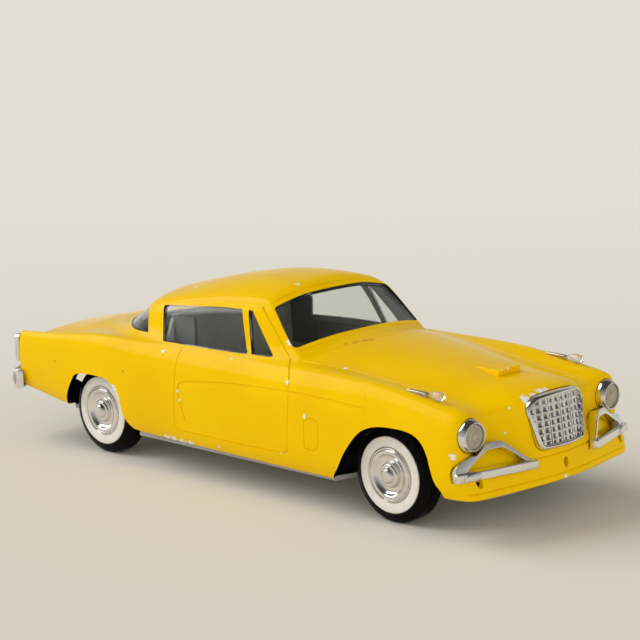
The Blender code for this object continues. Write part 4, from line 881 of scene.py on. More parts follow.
def make_materials():
    return {
        "yellow": yellow_paint(),
        "inside": inner_plastic_with_painted_shade(),
        "seat": moulded_plastic(
            "seat_plastic", (0.24, 0.24, 0.215, 1.0), (0.19, 0.19, 0.17, 1.0), 0.6, 0.8, 0.05),
        # Near-black walls of the window openings: painted shade, as shadowed glass edges.
        "window_edge_painted_shade": moulded_plastic("window_edge_painted_shade", (0.02, 0.024, 0.026, 1.0), (0.014, 0.016, 0.017, 1.0)),
        "chrome": plating("plated_trim", (0.86, 0.85, 0.82, 1.0), (0.72, 0.69, 0.64, 1.0), 0.06, 0.3),
        "mesh": plating("grille_mesh", (0.8, 0.79, 0.76, 1.0), (0.66, 0.64, 0.6, 1.0), 0.12, 0.3),
        # Darker plating for the floors of the grille's pits: painted shade in the hollows.
        "pit": plating("grille_pits_painted_shade", (0.4, 0.4, 0.43, 1.0), (0.28, 0.28, 0.3, 1.0), 0.3, 0.5),
        "cover": plating("wheel_cover", (0.84, 0.815, 0.79, 1.0), (0.72, 0.69, 0.66, 1.0), 0.1, 0.26),
        # Lamp stems plated with an amber tint: painted reflection of the yellow body.
        "stem": plating("lamp_stem_painted_reflection", (0.56, 0.46, 0.32, 1.0), (0.4, 0.32, 0.22, 1.0), 0.25, 0.45),
        "glass": window_plastic(),
        "cream": lamp_plastic("cream_lens", (0.42, 0.37, 0.27, 1.0), (0.33, 0.285, 0.2, 1.0), 0.15, 0.1),
        "boss": lamp_plastic("lamp_boss", (0.46, 0.37, 0.27, 1.0), (0.4, 0.3, 0.22, 1.0), 0.1, 0.15),
        "clear": lamp_plastic("lamp_plastic", (0.93, 0.9, 0.86, 1.0), (0.84, 0.79, 0.73, 1.0), 0.8, 0.05),
        "red": lamp_plastic("red_lens", (0.45, 0.015, 0.012, 1.0), (0.33, 0.01, 0.01, 1.0), 0.3, 0.1),
        "tyre": rubber(
            "tyre_rubber", (0.002, 0.0017, 0.0015, 1.0), (0.004, 0.0035, 0.003, 1.0), 0.2, 0.34, 0.06),
        "whitewall": rubber("whitewall", (0.77, 0.735, 0.68, 1.0), (0.69, 0.635, 0.56, 1.0), 0.4, 0.6, 0.3),
        "hub": moulded_plastic("black_plastic", (0.02, 0.02, 0.02, 1.0), (0.03, 0.03, 0.03, 1.0)),
        "chassis": chassis_plastic_with_painted_shade(),
        "steel": plating("steel", (0.55, 0.54, 0.52, 1.0), (0.4, 0.38, 0.35, 1.0), 0.25, 0.45),
        "cut_paint": bpy.data.materials.new("cut_paint"),
    }


# Body.
BODY_LEVELS = 3
CABIN_LEVELS = 4
CAVITY_DROP = 9.0
# Shading: how far cabin and body blend into each other, and the least cosine between a face of the shell
# and the uncut surface for that face to be smoothed.
FILLET = 4.0
OUTSIDE_COSINE = 0.7
# Trim sockets, and sections of the grooves and the drip rail as (across, out) places.
SOCKET_STEPS = 48
GROOVE = [(-0.13, 0.4), (0.13, 0.4), (0.13, 0.0), (0.0, -0.22), (-0.13, 0.0)]
BEAD = [(-0.32, -0.4), (0.32, -0.4), (0.28, 0.06), (0.12, 0.2), (-0.12, 0.2), (-0.28, 0.06)]


def swept(name, path, section, paint, closed=False):
    """Tube along (place, normal) pairs. Its section is (across, out) points."""
    bm = bmesh.new()
    rings = []
    count = len(path)
    for n, (place, normal) in enumerate(path):
        before = path[n - 1][0] if n or closed else place
        after = path[(n + 1) % count][0] if n < count - 1 or closed else place
        along = (after - before).normalized()
        across = normal.cross(along).normalized()
        out = along.cross(across)
        rings.append([bm.verts.new(place + across * a + out * b) for a, b in section])
    pairs = list(zip(rings, rings[1:]))
    if closed:
        pairs.append((rings[-1], rings[0]))
    for one, two in pairs:
        for n in range(len(section)):
            bm.faces.new((one[n - 1], one[n], two[n], two[n - 1]))
    if not closed:
        bm.faces.new(rings[0])
        bm.faces.new(rings[-1])
    return add_mesh(name, bm, paint)


def finer(points, step=1.5):
    """Points along a polyline, rounded by one smooth curve through them."""
    dense = []
    count = len(points)
    for n in range(count - 1):
        p0 = Vector(points[max(n - 1, 0)])
        p1 = Vector(points[n])
        p2 = Vector(points[n + 1])
        p3 = Vector(points[min(n + 2, count - 1)])
        parts = max(1, round((p2 - p1).length / step))
        for k in range(parts):
            t = k / parts
            dense.append(0.5 * ((2 * p1) + (p2 - p0) * t + (2 * p0 - 5 * p1 + 4 * p2 - p3) * t ** 2
                                + (3 * p1 - p0 - 3 * p2 + p3) * t ** 3))
    dense.append(Vector(points[-1]))
    return dense


class Skin:
    """Uncut outer surfaces, for laying lines on the body and for its shading."""

    def __init__(self, things):
        self.parts = []
        for thing in things:
            mesh = thing.data.copy()
            corners = [vert.co.copy() for vert in mesh.vertices]
            faces = [tuple(face.vertices) for face in mesh.polygons]
            normals = [vert.normal.copy() for vert in mesh.vertices]
            self.parts.append((BVHTree.FromPolygons(corners, faces), corners, faces, normals))

    def hit(self, start, direction):
        """First (place, normal) that a ray meets."""
        best = None
        for tree, corners, faces, normals in self.parts:
            place, _, index, away = tree.ray_cast(Vector(start), Vector(direction))
            if place is not None and (best is None or away < best[2]):
                best = (place, self.smooth(corners, faces, normals, index, place), away)
        return best[:2]

    def smooth(self, corners, faces, normals, index, place):
        face = faces[index]
        shares = poly_3d_calc([corners[v] for v in face], place)
        return sum((normals[v] * share for v, share in zip(face, shares)), Vector()).normalized()

    def shade(self, point):
        """Normal at a point of the outside, blended where two surfaces meet."""
        found = []
        for tree, corners, faces, normals in self.parts:
            place, _, index, away = tree.find_nearest(point)
            found.append((away, self.smooth(corners, faces, normals, index, place)))
        found.sort(key=lambda pair: pair[0])
        own = found[0][1]
        away, other = found[1]
        t = min(away / FILLET, 1.0)
        share = 0.5 * (1 - t * t * (3 - 2 * t))
        return (own * (1 - share) + other * share).normalized()

    def side(self, side, points):
        """Line on the car's side through (x, z) points."""
        return [self.hit((x, side * FAR, z), (0, -side, 0)) for x, z in finer(points)]

    def top(self, points):
        """Line on the car's top through (x, y) points."""
        return [self.hit((x, y, 2 * FAR), (0, 0, -1)) for x, y in finer(points)]

    def nose(self, points):
        """Line on the car's front through (y, z) points."""
        return [self.hit((3 * FAR, y, z), (-1, 0, 0)) for y, z in finer(points)]


DOOR_REAR = [(-18.0, 38.4), (-17.4, 35.0), (-17.4, 30.0), (-17.9, 20.6), (-18.4, 15.4)]
DOOR_FRONT = [(30.0, 36.0), (30.8, 30.6), (30.2, 21.9), (29.6, 15.6)]
PILLAR_LINE = [(9.6, 24.6, 52.8), (15.8, 26.1, 47.1), (20.6, 27.0, 42.2), (25.7, 30.2, 39.5),
               (28.4, 33.2, 37.8), (30.0, 35.0, 36.0)]
DOOR_FOOT = [(-18.4, 15.4), (-17.4, 14.5), (-7.3, 14.5), (9.9, 14.5), (27.6, 14.8), (29.6, 15.6)]
SCALLOP = [(-13.2, 18.0), (-15.3, 23.4), (-16.2, 27.2), (-15.4, 29.0), (-13.0, 29.9), (-5.0, 30.8),
           (10.1, 32.2), (29.5, 32.9), (41.5, 33.0), (60.0, 32.3)]
HOOD_SEAM = [(27.2, 27.6), (34.6, 27.0), (43.2, 25.8), (54.9, 24.4), (64.8, 23.6), (76.0, 24.2), (86.0, 25.6)]
COWL_SEAM = [(27.2, 27.6), (29.4, 22.0), (32.4, 14.8), (34.8, 7.3), (35.6, 0.0), (34.8, -7.3), (32.4, -14.8),
             (29.4, -22.0), (27.2, -27.6)]
LID_SEAM = [(-70.0, 24.6), (-80.0, 24.0), (-88.0, 23.4), (-94.2, 22.6)]
LIP_GROOVE_Z = 13.8
LEDGE_Z = 19.3
LEDGE_HALF = 15.0
DRIP_RAIL = [(-33.0, 48.9), (-26.9, 50.8), (-17.6, 52.1), (-4.2, 53.3), (5.9, 53.7), (9.0, 53.4),
             (10.6, 51.8)]
BADGE = [(36.9, 17.8), (41.6, 18.2), (42.1, 26.0), (37.2, 25.6)]
LIP_HALF = W - 2.2
LIP_FLAT = 12
BROAD_GROOVE = [(1.9 * across, 1.5 * out) for across, out in GROOVE]
DEEP_GROOVE = [(3.2 * across, 2.6 * out) for across, out in GROOVE]
SCALLOP_LEDGE = [(-0.1, 0.4), (0.1, 0.4), (0.12, -0.02), (0.0, -0.22), (-0.1, -0.2), (-3.4, 0.05),
                 (-3.4, 0.4)]
PILLAR_SLANT = (0.75, 0.66)
SURROUND_GAP = 1.7
SCREEN_HEAD_LINE = [(u, v + SURROUND_GAP) for u, v in WINDSCREEN_OUTLINE[2:]]
SCREEN_FOOT_LINE = [(WINDSCREEN_OUTLINE[0][0] - 1.2, -0.9), (W / 3, -1.0)]


def screen_lines(skin):
    """Lines over the top and along the foot of the windscreen opening."""
    slope = (WINDSCREEN_HEAD - WINDSCREEN_FOOT).normalized()
    facing = Vector((0, 1, 0)).cross(slope)
    place = axis_frame(WINDSCREEN_FOOT, facing, (0, 1, 0))
    paths = []
    for half in (SCREEN_HEAD_LINE, SCREEN_FOOT_LINE):
        spots = [place @ Vector((u, v, CUT_REACH)) for u, v in finer(mirrored(half))]
        paths.append([skin.hit(spot, -facing) for spot in spots])
    return paths


def side_lines(skin, hand, side, paint):
    """Cutters for one side: the door, the scallop, the badge, the pillar's line and the lids' seams."""
    lines = []
    for name, points in (("door_rear", DOOR_REAR), ("door_front", DOOR_FRONT), ("door_foot", DOOR_FOOT)):
        lines.append(swept(name + "_" + hand, skin.side(side, points), GROOVE, paint))
    section = [(-side * across, out) for across, out in SCALLOP_LEDGE]
    lines.append(swept("scallop_" + hand, skin.side(side, SCALLOP), section, paint))
    badge = skin.side(side, BADGE + BADGE[:1])[:-1]
    lines.append(swept("badge_" + hand, badge, GROOVE, paint, closed=True))
    slant = Vector((0.0, PILLAR_SLANT[0] * side, PILLAR_SLANT[1]))
    post = [Vector((x, side * y, z)) for x, y, z in PILLAR_LINE]
    path = [skin.hit(place + slant * CUT_REACH, -slant) for place in finer(post)]
    lines.append(swept("pillar_line_" + hand, path, BROAD_GROOVE, paint))
    for name, points, groove in (("hood_seam", HOOD_SEAM, DEEP_GROOVE), ("lid_seam", LID_SEAM, GROOVE)):
        seam = skin.top([(x, side * y) for x, y in points])
        lines.append(swept(name + "_" + hand, seam, groove, paint))
    return lines


def body_lines(skin, paint):
    """Cutters for the panel lines that are moulded into the shell."""
    lines = []
    for hand, side in HANDS:
        lines += side_lines(skin, hand, side, paint)
    lines.append(swept("cowl_seam", skin.top(COWL_SEAM), BROAD_GROOVE, paint))
    for n, path in enumerate(screen_lines(skin)):
        lines.append(swept("screen_line_%d" % n, path, GROOVE, paint))
    lip = [(y, LIP_GROOVE_Z) for y in (-LIP_HALF, -LIP_FLAT, LIP_FLAT, LIP_HALF)]
    lines.append(swept("lip_groove", skin.nose(lip), BROAD_GROOVE, paint))
    ledge = [(y, LEDGE_Z) for y in (-LEDGE_HALF, 0, LEDGE_HALF)]
    lines.append(swept("apron_ledge", skin.nose(ledge), BROAD_GROOVE, paint))
    return lines


def drip_rails(skin, paint):
    """Beads over the side windows, turning down where the windscreen posts begin."""
    rails = []
    for hand, side in HANDS:
        rails.append(swept("drip_rail_" + hand, skin.side(side, DRIP_RAIL), BEAD, paint))
    return rails


SCOOP_LIFT = 0.9
SCOOP_UNDERCUT = 1.5
SCOOP_EDGE = 0.4
# Ends of the scoop: x, undercut, half width, inset of the upper edge, lower z and upper z.
SCOOP_TAIL = (SCOOP_FRONT_X - SCOOP_LENGTH, 0.0, 2.6, 0.5, 36.0, SCOOP_TAIL_Z)
SCOOP_NOSE = (SCOOP_FRONT_X, SCOOP_UNDERCUT, 6.3, 1.9, 35.0, SCOOP_FRONT_Z + SCOOP_LIFT)


def hood_scoop(paint):
    """Low wedge on the hood with sloping sides and a lip that overhangs its front, with rounded edges."""
    bm = bmesh.new()
    ends = []
    for x, back, half, inset, low, high in (SCOOP_TAIL, SCOOP_NOSE):
        foot = x - back
        top = half - inset
        section = ((foot, -half, low), (foot, half, low), (x, top, high), (x, -top, high))
        ends.append([bm.verts.new(place) for place in section])
    first, last = ends
    bm.faces.new(first)
    bm.faces.new(last)
    for n in range(4):
        bm.faces.new((first[n], first[n - 1], last[n - 1], last[n]))
    return soften(add_mesh("hood_scoop", bm, paint), SCOOP_EDGE, 4)


def turns(count):
    """Angles of a full turn in equal steps."""
    return [2 * math.pi * n / count for n in range(count)]


def arch(name, axle_x, spots, paint):
    """Wheel arch cutter with a smooth curve through its places."""
    outline = finer([(axle_x + x, z) for x, z in spots], 1.0)
    return paint_with(prism(name, outline, -FAR, FAR, ACROSS), paint)


SEAT_X = -30.6
SEAT_THICKNESS = 1.2
SEAT_OUTLINE = [(35.4, 26.0), (35.4, 32.0), (27.5, 39.5), (24.5, 46.5)]
SEAT_WING = [(SEAT_X, 24.0), (-20.0, 24.0), (-20.0, 25.0), (SEAT_X, 25.0)]
SEAT_WING_FOOT = 30.0
SEAT_WING_TOP = 46.4


def seat_panel(paint, wing_paint):
    """Rib across the inside of the shell that closes the view to the rear window, with two wings."""
    place = axis_frame((SEAT_X, 0, 0), (1, 0, 0), (0, 1, 0))
    outline = [(place.inverted() @ Vector((SEAT_X, y, z))).to_2d() for y, z in mirrored(SEAT_OUTLINE)]
    panel = prism("seat_panel", outline, 0.0, SEAT_THICKNESS, place, paint)
    wings = []
    for hand, side in HANDS:
        wing = [(x, side * y) for x, y in SEAT_WING]
        wings.append(prism("seat_wing_" + hand, wing, SEAT_WING_FOOT, SEAT_WING_TOP, paint=wing_paint))
    return combine(panel, wings, "UNION")


BUMPER_HOLE_WIDE = 1.0
BUMPER_HOLE_TALL = 1.45
BUMPER_HOLE_MIDDLE_Y = 0.5
BUMPER_HOLE_STEPS = 32


def hollow_cutters(paint):
    """Insides of the lower body, the apron and the cabin."""
    hollow = [
        lower_body("lower_cavity", 1, WALL, CAVITY_DROP, 2),
        apron_cavity(),
        greenhouse("cabin_cavity", 3, WALL),
    ]
    return [paint_with(thing, paint) for thing in hollow]


def window_openings(paint):
    windows = [windscreen_cutter("windscreen_opening")]
    for name, corners in (("main_window", MAIN_WINDOW), ("vent", VENT_WINDOW), ("backlight", BACKLIGHT_CUT)):
        windows.append(window_cutter(name + "_opening", corners))
    return [paint_with(thing, paint) for thing in windows]


def wheel_wells(paint):
    return [
        arch("front_arch", FRONT_AXLE_X, FRONT_ARCH, paint),
        arch("rear_arch", REAR_AXLE_X, REAR_ARCH, paint),
    ]


def trim_openings(paint):
    """Cutters for the grille's pocket, the empty bumper holes, the lamp sockets and the side grilles."""
    openings = [
        prism("grille_pocket", grille_outline(SEAT_GAP / 2), -GRILLE_DEPTH - SEAT_GAP, CUT_REACH,
              grille_frame_matrix()),
    ]
    oval = []
    for turn in turns(BUMPER_HOLE_STEPS):
        oval.append((BUMPER_HOLE_WIDE * math.cos(turn), BUMPER_HOLE_TALL * math.sin(turn)))
    for name, y in (("middle", BUMPER_HOLE_MIDDLE_Y), ("left", BUMPER_HOLE_Y), ("right", -BUMPER_HOLE_Y)):
        place = axis_frame((APRON_PLAN(abs(y)), y, BUMPER_HOLE_Z), (1, 0, 0), (0, 1, 0))
        openings.append(prism("bumper_hole_" + name, oval, -CUT_REACH, CUT_REACH, place))
    floor = -HEADLAMP_DEPTH - SEAT_GAP
    bore = HEADLAMP_RADIUS + SEAT_GAP / 2
    socket = [(0.0, floor), (bore, floor), (bore, CUT_REACH), (0.0, CUT_REACH)]
    for hand, side in HANDS:
        place = headlamp_frame(side)
        openings.append(turned("headlamp_socket_" + hand, socket, place, SOCKET_STEPS))
        openings += side_grille_seats(hand, side)
    return [paint_with(thing, paint) for thing in openings]


def build_body(paints):
    cut = paints["cut_paint"]
    yellow = paints["yellow"]
    inside = paints["inside"]
    lower = paint_with(lower_body("body_shell_painted", BODY_LEVELS), yellow)
    cabin = paint_with(greenhouse("cabin_outer", CABIN_LEVELS), yellow)
    skin = Skin([lower, cabin])
    shell = combine(lower, [cabin], "UNION")
    combine(shell, [hood_scoop(yellow)] + drip_rails(skin, yellow), "UNION")
    combine(shell, body_lines(skin, cut), "DIFFERENCE")
    combine(shell, hollow_cutters(inside), "DIFFERENCE")
    # The window openings' walls take a near-black plastic, which is painted shade.
    combine(shell, window_openings(paints["window_edge_painted_shade"]) + wheel_wells(inside), "DIFFERENCE")
    combine(shell, [seat_panel(inside, paints["seat"])], "UNION")
    combine(shell, trim_openings(cut), "DIFFERENCE")
    shade_body(shell, skin)
    for n, paint in enumerate(shell.data.materials):
        if paint == cut:
            shell.data.materials[n] = yellow
    shell.name = "body_shell_painted"
    return hand_over(shell, "car", ["body_shell"], angle=None)


def shade_body(shell, skin):
    """Smooth normals of the uncut surfaces on the outside, and sharp edges at the cuts."""
    mesh = shell.data
    mesh.shade_smooth()
    mesh.set_sharp_from_angle(angle=math.radians(SHARP_ANGLE))
    known = {}
    normals = [Vector()] * len(mesh.loops)
    for face in mesh.polygons:
        if face.material_index:
            continue
        for loop in face.loop_indices:
            vert = mesh.loops[loop].vertex_index
            if vert not in known:
                known[vert] = skin.shade(mesh.vertices[vert].co)
            if known[vert].dot(face.normal) > OUTSIDE_COSINE:
                normals[loop] = known[vert]
    mesh.normals_split_custom_set([tuple(normal) for normal in normals])


# Glass.
PANE_DEPTH = 0.35
PANE_THICKNESS = 0.5
PANE_GAP = 0.05


def build_glass(name, opening, paints):
    """Thin pane that fills its opening, just behind the painted edge."""
    pane = greenhouse(name + "_clear", CABIN_LEVELS, PANE_DEPTH)
    combine(pane, [opening], "INTERSECT")
    combine(pane, [greenhouse(name + "_inside", CABIN_LEVELS, PANE_DEPTH + PANE_THICKNESS)], "DIFFERENCE")
    paint_with(pane, paints["glass"])
    hand_over(pane, "car", [name])


def build_windows(paints):
    build_glass("windscreen", windscreen_cutter("windscreen_pane", -PANE_GAP), paints)
    back = window_cutter("rear_window_pane", BACKLIGHT_CUT, -PANE_GAP)
    build_glass("rear_window", back, paints)
    near = BODY_HALF_WIDTH / 3
    for hand, start, end in (("left", -FAR, -near), ("right", near, FAR)):
        main_outline = rounded(grown(MAIN_WINDOW, -PANE_GAP), VISIBLE_CORNER)
        vent_outline = rounded(grown(VENT_WINDOW, -PANE_GAP), VISIBLE_CORNER)
        opening = prism("main_pane_" + hand, main_outline, start, end, ACROSS)
        combine(opening, [prism("vent_pane_" + hand, vent_outline, start, end, ACROSS)], "UNION")
        build_glass("side_glass_" + hand, opening, paints)


# Grille.
GRILLE_CROWN = 1.2
GRILLE_SAG = 0.7
GRILLE_CORNER_FALL = 2.3
GRILLE_TOP_FALL = 0.9
GRILLE_TOP_FLAT = 4.0
RIM_FACE = 0.25
CORNER_SINK = 1.0
GRILLE_TOP_V = 14.4


def grille_frame_matrix():
    slope = Vector((GRILLE_TOP_X - GRILLE_BOTTOM_X, 0, GRILLE_TOP_Z - GRILLE_BOTTOM_Z)).normalized()
    ahead = Vector((0, 1, 0)).cross(slope)
    return axis_frame((GRILLE_BOTTOM_X, 0, GRILLE_BOTTOM_Z), ahead, (0, 1, 0))


def grille_outline(margin):
    """Outline of the grille with arched upper and lower sides."""
    height = math.hypot(GRILLE_TOP_X - GRILLE_BOTTOM_X, GRILLE_TOP_Z - GRILLE_BOTTOM_Z)
    half = [
        (GRILLE_BOTTOM_HALF + margin, -margin),
        (GRILLE_TOP_HALF + margin, height - GRILLE_CORNER_FALL + margin),
        (GRILLE_TOP_HALF - GRILLE_TOP_FLAT, height - GRILLE_TOP_FALL + margin),
    ]
    arc = 6
    spans = 12
    corners = rounded(mirrored(half), GRILLE_CORNER + margin, arc)
    outline = []
    for n, point in enumerate(corners):
        outline.append(Vector(point))
        if n % (arc + 1) == arc:
            after = Vector(corners[(n + 1) % len(corners)])
            outline += [Vector(point).lerp(after, k / spans) for k in range(1, spans)]
    crowned = []
    for u, v in outline:
        share = v / height
        lift = GRILLE_CROWN * share - GRILLE_SAG * (1 - share)
        crowned.append((u, v + lift * (1 - (u / GRILLE_TOP_HALF) ** 2)))
    return crowned


def grille_bow(u, v=0.0):
    """How far the grille's face stands ahead of its flat frame; the upper corners lie deeper."""
    edge = abs(u) / GRILLE_TOP_HALF
    sink = CORNER_SINK * edge ** 4 * max(v / GRILLE_TOP_V, 0.0) ** 3
    return GRILLE_BOW * (1 - edge ** 2) - sink


def build_grille_frame(paints):
    """Plated rim with a rounded section."""
    place = grille_frame_matrix()
    front_w = RIM_FACE
    section = [(0.0, -GRILLE_DEPTH), (0.0, front_w - 1.0), (-0.08, front_w - 0.55), (-0.26, front_w - 0.2),
               (-0.5, front_w), (-0.75, front_w), (-0.95, front_w - 0.2), (-1.05, front_w - 0.55),
               (-GRILLE_RIM, -0.9), (-GRILLE_RIM, -GRILLE_DEPTH)]
    bm = bmesh.new()
    loops = []
    for margin, w in section:
        spots = [Vector((u, v, w + grille_bow(u, v))) for u, v in grille_outline(margin)]
        loops.append([bm.verts.new(place @ spot) for spot in spots])
    for n in range(len(loops)):
        one = loops[n - 1]
        two = loops[n]
        for k in range(len(one)):
            bm.faces.new((one[k - 1], one[k], two[k], two[k - 1]))
    thing = add_mesh("grille_frame_plated", bm, paints["chrome"])
    hand_over(thing, "car", ["grille_frame"])


GRILLE_COLUMNS = 10
GRILLE_ROWS = 8
CELL_WIDTH = 2.24
CELL_HEIGHT = 1.92
CELL_RIDGE = 0.15
CELL_DEPTH = 0.75
STEP_DEPTH = 0.3
STEP_SHARE = 0.46
PIT_SHARE = 0.3
STRONG_LINES = (3, 5, 7)
BAR_HALF = 0.2
BAR_SINK = 0.3
BAR_HEIGHT = 0.55
GRILLE_MIDDLE_V = 7.45
WAFFLE_OVERLAP = 0.1


def cell_rims(u0, v0, u1, v1):
    """Nested rectangles of one pit, from its ridge to its floor: two corners and a height."""
    rims = [(u0, v0, u1, v1, 0.0)]
    rims.append((u0 + CELL_RIDGE, v0 + CELL_RIDGE, u1 - CELL_RIDGE, v1 - CELL_RIDGE, 0.0))
    mu = (u0 + u1) / 2
    mv = (v0 + v1) / 2
    for share, depth in ((STEP_SHARE, STEP_DEPTH), (PIT_SHARE, CELL_DEPTH)):
        hu = CELL_WIDTH / 2 * share
        hv = CELL_HEIGHT / 2 * share
        rims.append((mu - hu, mv - hv, mu + hu, mv + hv, -depth))
    return rims


def upright_bars(us, vs, place, paint):
    """Stronger bars that stand out of the waffle."""
    bars = []
    for n in STRONG_LINES:
        low = -MESH_DEPTH - BAR_SINK + grille_bow(us[n])
        start = us[n] - BAR_HALF
        end = us[n] + BAR_HALF
        strip = [(start, vs[0]), (end, vs[0]), (end, vs[-1]), (start, vs[-1])]
        bars.append(prism("upright_bar_%d" % n, strip, low, low + BAR_HEIGHT, place, paint))
    return bars


def build_grille_mesh(paints):
    """Waffle insert: square pits with sloped sides, three stronger upright bars, clipped to the rim."""
    place = grille_frame_matrix()
    bm = bmesh.new()
    known = {}

    def vertex(u, v, w):
        key = (round(u, 4), round(v, 4), round(w, 4))
        if key not in known:
            known[key] = bm.verts.new(place @ Vector((u, v, w + grille_bow(u, v))))
        return known[key]

    def add_face(corners):
        bm.faces.new([vertex(*corner) for corner in corners])

    face_w = -MESH_DEPTH
    back_w = -GRILLE_DEPTH
    us = [CELL_WIDTH * (n - GRILLE_COLUMNS / 2) for n in range(GRILLE_COLUMNS + 1)]
    vs = [GRILLE_MIDDLE_V + CELL_HEIGHT * (n - GRILLE_ROWS / 2) for n in range(GRILLE_ROWS + 1)]
    pits = []
    for u0, u1 in zip(us, us[1:]):
        for v0, v1 in zip(vs, vs[1:]):
            loops = []
            for a, b, c, d, w in cell_rims(u0, v0, u1, v1):
                loops.append([vertex(u, v, face_w + w) for u, v in ((a, b), (c, b), (c, d), (a, d))])
            for one, two in zip(loops, loops[1:]):
                for n in range(4):
                    side = bm.faces.new((one[n - 1], one[n], two[n], two[n - 1]))
                    if two is loops[-1]:
                        pits.append(side)
            pits.append(bm.faces.new(loops[-1]))
            add_face([(u0, v0, back_w), (u0, v1, back_w), (u1, v1, back_w), (u1, v0, back_w)])
    for u0, u1 in zip(us, us[1:]):
        for v in (vs[0], vs[-1]):
            add_face([(u0, v, face_w), (u1, v, face_w), (u1, v, back_w), (u0, v, back_w)])
    for v0, v1 in zip(vs, vs[1:]):
        for u in (us[0], us[-1]):
            add_face([(u, v0, face_w), (u, v1, face_w), (u, v1, back_w), (u, v0, back_w)])
    # Pit floors and their lowest walls take the darker plating: painted shade.
    for face in pits:
        face.material_index = 1
    thing = add_mesh("grille_mesh_waffle", bm, paints["mesh"])
    thing.data.materials.append(paints["pit"])
    combine(thing, upright_bars(us, vs, place, paints["mesh"]), "UNION")
    inner = grille_outline(-GRILLE_RIM + WAFFLE_OVERLAP)
    outline = prism("waffle_outline", inner, -CUT_REACH, CUT_REACH, place)
    combine(thing, [paint_with(outline, paints["mesh"])], "INTERSECT")
    hand_over(thing, "car", ["grille_mesh"], angle=25)


# Headlamps.
HEADLAMP_TOE = 0.06
LAMP_STEPS = 72
LENS_PLAY = 0.1
LENS_RINGS = 36
LENS_LIFT = 0.05
LENS_CROWN = 0.4
RING_HEIGHT = 0.05
RING_PITCH = 0.62
BOSS_EDGE = 1.1
BOSS_RISE = 0.22
BOSS_RADIUS = 1.05
LAMP_FLOOR = LAMP_REACH - LENS_SEAT


def headlamp_frame(side):
    return axis_frame((HEADLAMP_X, side * HEADLAMP_Y, HEADLAMP_Z), (1, side * HEADLAMP_TOE, 0))


def bezel_profile():
    """Cup with a rolled lip, as (radius, along) places."""
    outer = HEADLAMP_RADIUS
    rim = LENS_RADIUS + LENS_PLAY
    lip = HEADLAMP_LIP + LAMP_REACH
    return [
        (0.0, -HEADLAMP_DEPTH), (outer, -HEADLAMP_DEPTH), (outer, -HEADLAMP_FLARE), (outer - 0.02, -0.4),
        (outer - 0.12, 0.3), (outer - 0.35, lip - 0.7), (rim + 0.55, lip - 0.25), (rim + 0.4, lip - 0.05),
        (rim + 0.22, lip), (rim + 0.08, lip - 0.06), (rim, lip - 0.3), (rim, LAMP_FLOOR), (0.0, LAMP_FLOOR),
    ]


def lens_profile():
    """Domed lens with fine rings around a raised boss, as (radius, along) places."""
    back = SEAT_GAP + LAMP_FLOOR
    profile = [(0.0, back), (LENS_RADIUS, back)]
    for n in range(LENS_RINGS + 1):
        radius = LENS_RADIUS * (1 - n / LENS_RINGS)
        dome = LAMP_REACH + LENS_LIFT + LENS_CROWN * (1 - (radius / LENS_RADIUS) ** 2)
        ripple = BOSS_RISE
        if radius > BOSS_EDGE:
            ripple = RING_HEIGHT * math.cos(2 * math.pi * radius / RING_PITCH)
        profile.append((radius, dome + ripple))
    return profile


def build_headlamp(hand, side, paints):
    place = headlamp_frame(side)
    bezel = turned("headlamp_bezel_plated_" + hand, bezel_profile(), place, LAMP_STEPS, paints["chrome"])
    hand_over(bezel, "car", ["headlamp_bezel_" + hand])
    lens = turned("headlamp_lens_ringed_" + hand, lens_profile(), place, LAMP_STEPS, paints["cream"])
    lens.data.materials.append(paints["boss"])
    inverse = place.inverted()
    for face in lens.data.polygons:
        spot = inverse @ face.center
        if math.hypot(spot.x, spot.y) < BOSS_RADIUS and spot.z > LAMP_REACH:
            face.material_index = 1
    hand_over(lens, "car", ["headlamp_lens_" + hand])


# Side grilles.
def side_grille_frames(side):
    """Frames of the leaning arch and the upright bar, and the bar's length."""
    inner = Vector((NOSE_X - 0.6, side * SIDE_GRILLE_INNER_Y, SIDE_GRILLE_Z))
    low = SIDE_GRILLE_Z - SIDE_GRILLE_DROOP
    outer = Vector((NOSE_X - SIDE_GRILLE_SWEEP, side * SIDE_GRILLE_OUTER_Y, low))
    run = outer - inner
    ahead = Vector((abs(run.y), side * abs(run.x), 0)).normalized()
    leaning = axis_frame(inner, ahead + Vector((0, 0, SIDE_GRILLE_LEAN)), run)
    upright = axis_frame(inner, ahead, run)
    return leaning, upright, run.length


def side_grille_shapes(length):
    """Outlines of the arch, its opening and the bar, as (along, up) places."""
    high = SIDE_GRILLE_RISE
    over = [(1.0, 0.6), (1.0, 3.0), (0.97, 4.5), (0.89, 5.5), (0.775, 6.3), (0.625, high - 0.7), (0.55, high),
            (0.41, high), (0.34, high - 0.6), (0.115, 3.8), (0.05, 2.8)]
    under = [(0.85, 2.4), (0.84, 3.1), (0.74, 4.7), (0.61, high - 2.4), (0.53, high - 1.8),
             (0.42, high - 1.8), (0.33, high - 2.3), (0.11, 2.4)]
    outline = [(0.0, 0.6)] + finer([(u * length, v) for u, v in over], 0.8)
    hole = finer([(u * length, v) for u, v in under], 0.8)
    bar = [(-0.2, 0.0), (length + 0.4, 0.0), (length + 0.4, SIDE_GRILLE_BAR), (-0.2, SIDE_GRILLE_BAR)]
    return outline, hole, bar


